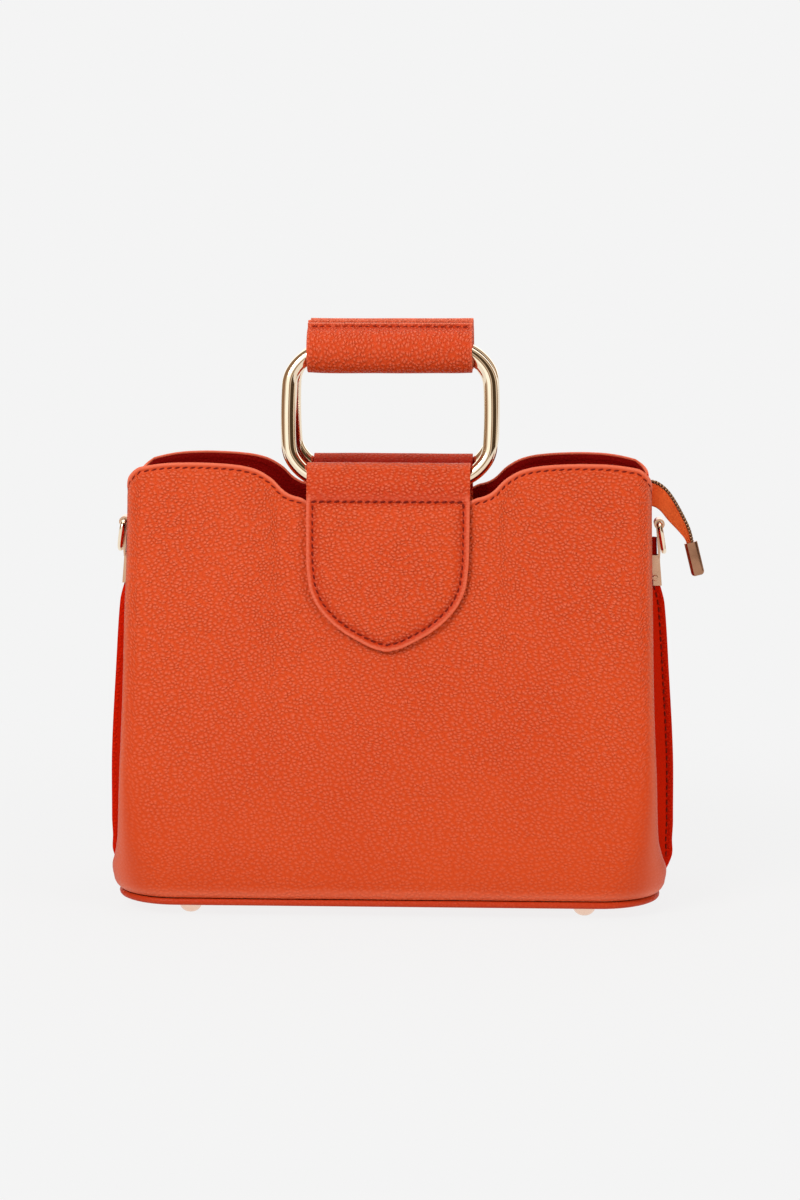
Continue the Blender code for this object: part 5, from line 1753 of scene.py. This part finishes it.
@dataclass
class Inside:
    """Cloth lining with its floor, and the stiffening boards."""

    form: BodyForm = BodyForm()
    inset: float = 4.3 * MM
    floor: float = 9.3 * MM
    top: float = 163.5 * MM
    cloth: float = 0.7 * MM
    wave_length: float = 50 * MM
    slack: float = 0.5 * MM
    floor_bend: float = 6 * MM

    def ring(self, height: float, share: float = 1.0) -> Array:
        """Closed outline at a height; a share under one draws it in over the floor.

        Args:
            height: height of the outline.
            share: share of its size.

        Returns:
            Points of the outline.
        """
        radius = max(float(self.form.corner_at(height)) - self.inset, 1.5 * MM)
        across = float(self.form.width_at(height)) - self.inset - radius
        deep = float(self.form.depth_at(height)) - self.inset - radius
        outline = rounded_outline(across, deep, radius, 12, (24, 24, 24, 24))
        outline = np.vstack([outline, outline[:1]]) * share
        return np.hstack([outline, np.full((len(outline), 1), height)])

    def make(self, finishes: Finishes, nodes: Nodes) -> None:
        """Builds the lining and dresses the boards.

        Args:
            finishes: the bag's finishes.
            nodes: CAD nodes by name.
        """
        rows = [self.ring(self.floor, share) for share in (0.02, 0.35, 0.7, 0.9, 0.97)]
        rows += [self.ring(height) for height in np.linspace(self.floor, self.top, 60)]
        points = np.array(rows)
        slack = soft_waves(points, self.wave_length, self.slack, 5.0) - self.slack
        lift = np.clip((points[..., 2] - self.floor) / self.floor_bend, 0, 1)
        points = points + unit(points * np.array([0.3, 1.0, 0.0])) * (slack * lift)[..., None]
        made = Bench.grid("lining_pouch", points, lambda p: p * np.array([1, 1, 0]) - np.array([0, 0, 0.01]))
        Bench.edit(made, lambda: bpy.ops.mesh.remove_doubles(threshold=CLOSE))
        Bench.wall(made, self.cloth, 0)
        dress(made, finishes.lining, Body.BAG, "lining_cloth", "lining")
        for side in Side:
            nodes[f"{side.word}_stiffener"].material_slots[0].material = finishes.board


@dataclass
class Mouth:
    """Recessed zip: leather facings, tapes, teeth, slider and puller."""

    form: BodyForm = BodyForm()
    level: float = 177.0 * MM
    facing_half: float = 108.0 * MM
    facing_inner: float = 12.4 * MM
    facing_bottom: float = 158.0 * MM
    chain_left: float = -94.0 * MM
    chain_end: float = 91.55 * MM
    pitch: float = 2.5 * MM
    count: int = 74
    keep: float = 0.3
    wall_depth: float = 27.4 * MM
    seam_half: float = 106 * MM
    stitch_pitch: float = 3.2 * MM
    wave_length: float = 55 * MM
    wave_height: float = 0.35 * MM
    sag_start: float = 170 * MM
    sag_blend: float = 5 * MM
    leather: float = 0.95 * MM
    tape: float = 0.6 * MM
    tape_inner: float = 3.0 * MM

    def facing_line(self) -> Array:
        """Section of a facing from its sewn foot up and in to the tape, as y, z.

        Returns:
            Points as y, z, on the back side.
        """
        inset = 4.7 * MM
        walls = (self.facing_bottom, 168.2 * MM, 175.2 * MM)
        control = [(float(self.form.depth_at(z)) - inset, z) for z in walls]
        rises = ((25.4 * MM, 0.5 * MM), (19.0 * MM, 0.6 * MM), (self.facing_inner, 0.5 * MM))
        control += [(y, self.level + rise) for y, rise in rises]
        return smooth_path(np.array(control), 3)

    def piece(self, made: Piece, side: Side, finish: bpy.types.Material, slot: str, *stands_for: str) -> None:
        """Dresses a piece of the mouth and gives it its own copy of its mesh."""
        dress(made, finish, Body.BAG, slot, *stands_for)
        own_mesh(made)

    def sag(self, points: Array, side: Side) -> Array:
        """Unevenness of a facing."""
        return soft_waves(points, self.wave_length, self.wave_height, 7.0 + side.value)

    def half(self, side: Side, finishes: Finishes) -> None:
        """Builds one half of the mouth.

        Args:
            side: face of the bag that the half belongs to.
            finishes: the bag's finishes.
        """
        word = side.word
        line = self.facing_line()[:, None]
        points = stacked(
            np.linspace(-self.facing_half, self.facing_half, 90), side.value * line[..., 0], line[..., 1]
        )
        blend = np.clip((line[..., 1] - self.sag_start) / self.sag_blend, 0, 1)
        points[..., 2] += self.sag(points, side) * blend
        up = np.array([0.0, 0.0, 1.0])
        over = up + np.array([0, side.value * 0.4, 0])
        leather = Bench.grid(f"{word}_mouth_facing", points, lambda p: 0 * p + over)
        Bench.wall(leather, self.leather, 0.25 * MM, 2)
        # The facing takes the deep red that paints the orange leather's shade.
        self.piece(leather, side, finishes.red, "red_leather", f"{word}_zip_facing")
        cross = np.linspace(self.tape_inner, self.facing_inner - 0.3 * MM, 10)[:, None]
        along = np.linspace(-self.facing_half, self.chain_end, 80)
        flat = stacked(along, side.value * cross, self.level + 0.3 * MM)
        tape = Bench.grid(f"{word}_mouth_tape", flat, lambda p: 0 * p + up)
        Bench.wall(tape, self.tape, 0)
        self.piece(tape, side, finishes.tape, "woven_tape", f"{word}_zip_tape")
        low, high = Vector((-0.55 * MM, -0.9 * MM, -1.1 * MM)), Vector((0.55 * MM, 3.1 * MM, 1.1 * MM))
        tooth = Bench.block("tooth", low, high, 0.22 * MM, 1)
        start = self.chain_left + self.pitch * (1.0 if side is Side.BACK else 0.5)
        places = stacked(start + self.pitch * np.arange(self.count), 0, self.level)
        along = 0 * places + np.array([float(side.value), 0.0, 0.0])
        teeth = Bench.copies(f"{word}_chain_teeth", tooth, places, along, 0 * places + up)
        self.piece(teeth, side, finishes.bronze, "bronze_teeth", f"{word}_zip_teeth")
        along, seam_y = np.linspace(-self.seam_half, self.seam_half, 60), self.facing_inner + 1.6 * MM
        path = stacked(along, side.value * seam_y, self.level + 0.62 * MM)
        spots, way = even_steps(path, self.stitch_pitch)
        spots[:, 2] += self.sag(spots, side)
        stitch = Bench.pill(2.2 * MM, 0.5 * MM, 0.4 * MM)
        seam = Bench.copies(f"{word}_mouth_seam", stitch, spots, way, 0 * spots + up)
        self.piece(seam, side, finishes.thread, "red_leather")

    def make(self, finishes: Finishes, nodes: Nodes) -> None:
        """Builds both halves and dresses the slider and puller.

        Args:
            finishes: the bag's finishes.
            nodes: CAD nodes by name.
        """
        for side in Side:
            self.half(side, finishes)
        for name in ("zip_slider", "zip_puller"):
            nodes[name].material_slots[0].material = finishes.gold


@dataclass
class ZipTail:
    """Free end of the zip: a folded tape with teeth on its edge and a metal cap."""

    start: float = 91.85 * MM
    end: float = 138.0 * MM
    low: float = 158.4 * MM
    rise: float = 32.8 * MM
    half: float = 0.9 * MM
    tape_drop: float = 0.75 * MM
    tape: float = 0.55 * MM
    tooth_pitch: float = 1.55 * MM
    tooth_row: float = 0.62 * MM
    shade_end: float = 123 * MM
    shade_blend: float = 10 * MM
    cap_length: float = 15.5 * MM
    cap_rim: float = 0.25 * MM
    cap_hollow: float = 2.6 * MM
    edges: Table = (
        (0.0, 0.64, 0.0, 0.421), (0.12, 0.744, 0.13, 0.488), (0.27, 0.866, 0.29, 0.555),
        (0.41, 0.942, 0.42, 0.61), (0.551, 0.963, 0.55, 0.622), (0.621, 0.93, 0.633, 0.57),
        (0.703, 0.838, 0.712, 0.424), (0.772, 0.704, 0.766, 0.346), (0.829, 0.567, 0.809, 0.284),
        (0.883, 0.421, 0.848, 0.223), (0.924, 0.299, 0.879, 0.171), (0.947, 0.183, 0.892, 0.137),
        (0.955, 0.122, 0.9, 0.102), (0.971, 0.033, 0.917, 0.013),
    )

    def lines(self) -> tuple[Array, Array]:
        """Upper and lower edge of the tail in the XZ plane, smoothed.

        Returns:
            Points of the upper and of the lower edge, as x, z.
        """
        size = np.array([self.end - self.start, self.rise])
        corner = np.array([self.start, self.low])
        table = np.array(self.edges)
        upper, lower = corner + size * table[:, :2], corner + size * table[:, 2:]
        return resampled(smooth_path(upper, 3), 70), resampled(smooth_path(lower, 3), 70)

    def make(self, finishes: Finishes) -> None:
        """Builds the tape, its teeth and the cap.

        Args:
            finishes: the bag's finishes.
        """
        upper, lower = self.lines()
        tangent = unit(np.gradient(upper, axis=0))
        normal = stacked(-tangent[:, 1], tangent[:, 0])
        edge = upper - normal * self.tape_drop
        flats = [(share, 1.0) for share in np.linspace(1, 0.06, 16)]
        fold = [(0.06 * (1 - math.sin(t)), math.cos(t)) for t in np.linspace(0, math.pi, 9)[1:-1]]
        section = np.array(flats + fold + [(share, -1.0) for share, _ in flats[::-1]])
        share, side = section[:, :1], section[:, 1:]
        flat = lower + (edge - lower) * share[..., None]
        belly = 1 - 0.25 * np.sin(math.pi * np.clip(share, 0, 1))
        grid = stacked(flat[..., 0], -side * self.half * belly, flat[..., 1])
        out = np.sign(grid) * np.array([0, 1, 0])
        tape = Bench.grid("tail_tape_fold", grid, lambda _: out)
        shaded = np.clip((self.shade_end - grid[..., 0]) / self.shade_blend, 0, 1) * 0.5
        Bench.paint(tape, "shaded", shaded)
        Bench.wall(tape, self.tape, 0)
        dress(tape, finishes.tape, Body.BAG, "woven_tape", "zip_tail_tape")
        self.teeth(upper, normal, finishes)
        self.cap(upper, lower, finishes)

    def teeth(self, upper: Array, normal: Array, finishes: Finishes) -> None:
        """Builds two rows of half-offset teeth along the upper edge.

        Args:
            upper: upper edge as x, z.
            normal: its normals, upwards.
            finishes: the bag's finishes.
        """
        out = stacked(normal[:, 0], 0, normal[:, 1])
        line = stacked(upper[:, 0], 0, upper[:, 1]) - out * 0.1 * MM
        low, high = Vector((-0.42 * MM, -0.6 * MM, -0.7 * MM)), Vector((0.42 * MM, 0.6 * MM, 0.8 * MM))
        for side in Side:
            places, along = even_steps(np.hstack([line, out]), self.tooth_pitch)
            places[:, :3] -= along * side.value * self.tooth_pitch / 4
            places[:, 1] += side.value * self.tooth_row
            tooth = Bench.block("tooth", low, high, 0.2 * MM, 1)
            made = Bench.copies(f"tail_teeth_{side.word}", tooth, places[:, :3], along, places[:, 3:])
            stands = ("zip_tail_teeth",) if side is Side.FRONT else ()
            dress(made, finishes.bronze, Body.BAG, "bronze_teeth", *stands)

    def cap(self, upper: Array, lower: Array, finishes: Finishes) -> None:
        """Builds the hollow metal cap with its rounded end.

        Args:
            upper: upper edge as x, z.
            lower: lower edge as x, z.
            finishes: the bag's finishes.
        """
        down = unit(upper[-1] - upper[-4])
        across = np.array([-down[1], down[0]])
        middle = (upper[-1] + lower[-1]) / 2 - down * 3.0 * MM + across * 0.55 * MM
        placing = Matrix((
            (across[0], 0, -down[0], middle[0]), (0, 1, 0, 0),
            (across[1], 0, -down[1], middle[1]), (0, 0, 0, 1),
        ))
        wide, deep = 3.0 * MM, 2.3 * MM
        low, high = Vector((-wide, -deep, -self.cap_length)), Vector((wide, deep, 3 * MM))
        shell = Bench.block("tail_cap", low, high, 1.7 * MM, 6)

        def hollow() -> None:
            """Cuts the mouth of the cap crisp, insets it and sinks it."""
            bpy.ops.mesh.select_all(action="SELECT")
            bpy.ops.mesh.bisect(plane_co=(0, 0, 0), plane_no=(0, 0, 1), use_fill=True, clear_outer=True)
            bpy.ops.mesh.select_all(action="DESELECT")
            mesh = bmesh.from_edit_mesh(shell.data)
            for face in mesh.faces:
                face.select_set(face.normal.z > 0.99)
            mesh.select_flush_mode()
            bmesh.update_edit_mesh(shell.data)
            bpy.ops.mesh.inset(thickness=self.cap_rim, depth=0)
            bpy.ops.mesh.extrude_region_move(TRANSFORM_OT_translate={"value": (0, 0, -self.cap_hollow)})

        Bench.edit(shell, hollow)
        shell.data.transform(placing)
        Bench.merge(shell)
        Bench.soften(shell, 35)
        dress(shell, finishes.aged, Body.BAG, "pale_gold", "zip_end_cap")


@dataclass
class EndHardware:
    """Gusset clamp, its screw and the D-ring that hangs from its barrel."""

    hand: Hand
    barrel_x: float = 120.97 * MM
    barrel_height: float = 170.8 * MM
    wire: float = 1.2 * MM
    half_width: float = 9.0 * MM
    drop: float = 13.0 * MM
    swing: float = math.radians(10.0)

    def ring_path(self) -> Array:
        """Closed path of the D-ring about its bar's axis, hanging.

        Returns:
            Points of the path.
        """
        bend = self.wire * 2
        corner = self.half_width - bend
        right = np.linspace(math.pi / 2, 0, 9)
        bow = -math.pi * np.linspace(0, 1, 28)[1:-1]
        left = np.linspace(math.pi, math.pi / 2, 9)
        outline = np.vstack([
            stacked(corner + bend * np.cos(right), bend * np.sin(right)),
            stacked(self.half_width * np.cos(bow), (self.drop - bend) * np.sin(bow)),
            stacked(bend * np.cos(left) - corner, bend * np.sin(left)),
        ])
        y, z = outline[:, 0], outline[:, 1] - bend
        turn = -self.hand.value * self.swing
        return stacked(
            self.hand.value * self.barrel_x + z * math.sin(turn), y, self.barrel_height + z * math.cos(turn)
        )

    def make(self, finishes: Finishes, nodes: Nodes) -> None:
        """Builds the D-ring and dresses the clamp and screw.

        Args:
            finishes: the bag's finishes.
            nodes: CAD nodes by name.
        """
        word = self.hand.word
        body = Body.LEFT_RING if self.hand is Hand.LEFT else Body.RIGHT_RING
        ring = Bench.tube(f"{word}_d_ring_wire", self.ring_path(), self.wire, 5)
        dress(ring, finishes.gold, body, "pale_gold", f"{word}_d_ring")
        # The clamp and screw take the gold whose pink tint is a painted reflection of the red leather.
        for name in (f"{word}_clamp", f"{word}_clamp_screw"):
            nodes[name].material_slots[0].material = finishes.rose


# ---------------------------------------------------------------- studio


@dataclass
class Studio:
    """Pale floor, soft lights and the photograph's camera."""

    azimuth: float = 2.5
    elevation: float = 8.0
    distance: float = 1.5
    lens: float = 99.02
    sensor: float = 36.0
    lamp_aim: float = 130.0 * MM
    aim_height: float = 135.0 * MM
    aim_right: float = 3.9 * MM
    pale: float = 0.905
    glow: float = 0.93

    def floor(self) -> None:
        """Adds a wide floor that fades into the surround."""
        made = Bench.primitive(
            "studio_floor", bpy.ops.mesh.primitive_circle_add,
            vertices=96, radius=12, fill_type="NGON", location=(0, 0, -0.4 * MM),
        )
        desk = NodeDesk("studio_floor")
        x, y, _ = desk.along(desk.place())
        away = (x * x + y * y) ** 0.5
        desk.finish(Base_Color=(0.75, 0.75, 0.75, 1), Roughness=0.9, Specular_IOR_Level=0.0)
        glow = desk.node("ShaderNodeEmission", {}, {"Color": (*(self.pale,) * 3, 1), "Strength": 1.0})
        share = self.glow + away.ramp(0.12, 0.5) * (1 - self.glow)
        blend = desk.node("ShaderNodeMixShader", {}, (share, desk.shader.outputs[0], glow.outputs[0]))
        output = desk.tree.nodes["Material Output"]
        desk.tree.links.new(blend.outputs[0], output.inputs["Surface"])
        made.data.materials.append(desk.material)

    def surround(self) -> None:
        """Sets the pale surround, with a dim room in front for the metal to mirror."""
        world = bpy.data.worlds.new("surround")
        bpy.context.scene.world = world
        world.use_nodes = True
        world.node_tree.nodes.clear()
        desk = NodeDesk("surround", world.node_tree)
        x, y, _ = desk.along(desk.place("Generated"))
        back, white, cream, tan, dark = (
            (1.0, 1.0, 1.0), (1.0, 0.99, 0.97), (0.92, 0.87, 0.78), (0.52, 0.42, 0.31), (0.13, 0.10, 0.07)
        )
        brown, beige, bright, umber = (
            (0.34, 0.20, 0.12), (0.80, 0.69, 0.58), (1.45, 1.50, 1.50), (0.085, 0.055, 0.03)
        )
        stops = (
            (0.0, back), (0.10, cream), (0.125, dark), (0.165, dark), (0.19, tan), (0.30, tan),
            (0.325, white), (0.51, cream), (0.53, dark), (0.615, dark), (0.635, white), (0.77, cream),
            (0.80, tan), (0.85, dark), (0.89, tan), (0.92, white), (1.0, back),
        )
        mirrored = (
            (0.0, back), (0.10, cream), (0.125, dark), (0.165, dark), (0.20, brown), (0.305, brown),
            (0.325, beige), (0.36, beige), (0.38, bright), (0.50, bright), (0.512, brown), (0.535, brown),
            (0.548, beige), (0.57, beige), (0.588, umber), (0.74, umber), (0.757, beige), (0.785, cream),
            (0.80, brown), (0.87, dark), (0.90, cream), (0.93, back), (1.0, back),
        )
        turn = x.angle(0 - y) / math.tau + 0.5
        lit = desk.node("ShaderNodeValToRGB", {"stops": stops}, {"Fac": turn})
        seen = desk.node("ShaderNodeValToRGB", {"stops": mirrored}, {"Fac": turn})
        behind = y.ramp(-0.1, 0.8)
        rays = desk.node("ShaderNodeLightPath", {}, {})
        shiny = Value(desk, rays.outputs["Is Glossy Ray"])
        strength = (behind * 0.38 + 0.42) * (1 + shiny * 0.9)
        tone = desk.mix(shiny, lit.outputs[0], seen.outputs[0])
        room = desk.node("ShaderNodeBackground", {}, {"Color": tone, "Strength": strength})
        plain = desk.node("ShaderNodeBackground", {}, {"Color": (*(self.pale,) * 3, 1), "Strength": 1.0})
        shaders = (rays.outputs["Is Camera Ray"], room.outputs[0], plain.outputs[0])
        pick = desk.node("ShaderNodeMixShader", {}, shaders)
        desk.node("ShaderNodeOutputWorld", {}, {"Surface": pick.outputs[0]})

    def lamp(
        self, name: str, place: Point, size: tuple[float, float], power: float, tint: Colour,
        mirrored: bool = True,
    ) -> None:
        """Adds one soft box aimed at the bag.

        Args:
            name: name of the lamp.
            place: where it stands.
            size: width and height.
            power: watts.
            tint: colour of the light.
            mirrored: whether metal shows it.
        """
        made = Bench.primitive(name, bpy.ops.object.light_add, type="AREA", location=place)
        made.data.shape = "RECTANGLE"
        made.data.size, made.data.size_y = size
        made.data.energy = power
        made.data.color = tint
        made.visible_glossy = mirrored
        aim = Vector((0, 0, self.lamp_aim)) - Vector(place)
        made.rotation_euler = aim.to_track_quat("-Z", "Y").to_euler()

    def camera(self) -> None:
        """Adds the camera at the photograph's angle."""
        a, e = math.radians(self.azimuth), math.radians(self.elevation)
        back = Vector((math.sin(a) * math.cos(e), -math.cos(a) * math.cos(e), math.sin(e)))
        right = Vector((math.cos(a), math.sin(a), 0))
        aim = Vector((0, 0, self.aim_height)) + right * self.aim_right
        made = Bench.primitive("photo_camera", bpy.ops.object.camera_add, location=aim + back * self.distance)
        made.rotation_euler = (-back).to_track_quat("-Z", "Y").to_euler()
        made.data.lens = self.lens
        made.data.sensor_width = self.sensor
        made.data.clip_start = 0.05
        bpy.context.scene.camera = made

    def make(self) -> None:
        """Builds the studio."""
        bpy.context.scene.view_settings.view_transform = "Standard"
        self.floor()
        self.surround()
        self.lamp("key_box", (-0.8, -1.3, 1.25), (0.7, 0.7), 24, (1.0, 0.98, 0.95))
        self.lamp("right_box", (1.5, -1.3, 0.9), (0.7, 1.4), 15, (1.0, 0.99, 0.97), False)
        self.lamp("top_box", (0.0, 0.3, 1.9), (1.6, 1.2), 12, (1.0, 1.0, 1.0))
        self.camera()


def main() -> None:
    """Builds the bag's sub-assemblies in order, then the studio."""
    logging.basicConfig(level=logging.INFO, format="%(message)s")
    nodes = frame["nodes"]
    finishes = Finishes()
    for side in Side:
        Panel(side).make(finishes)
        ShieldTab(side).make(finishes)
        Handle(side).make(finishes)
    for hand in Hand:
        Gusset(hand).make(finishes)
        EndHardware(hand).make(finishes, nodes)
    Base().make(finishes, nodes)
    Inside().make(finishes, nodes)
    Mouth().make(finishes, nodes)
    ZipTail().make(finishes)
    Studio().make()


if __name__ == "__main__":
    main()
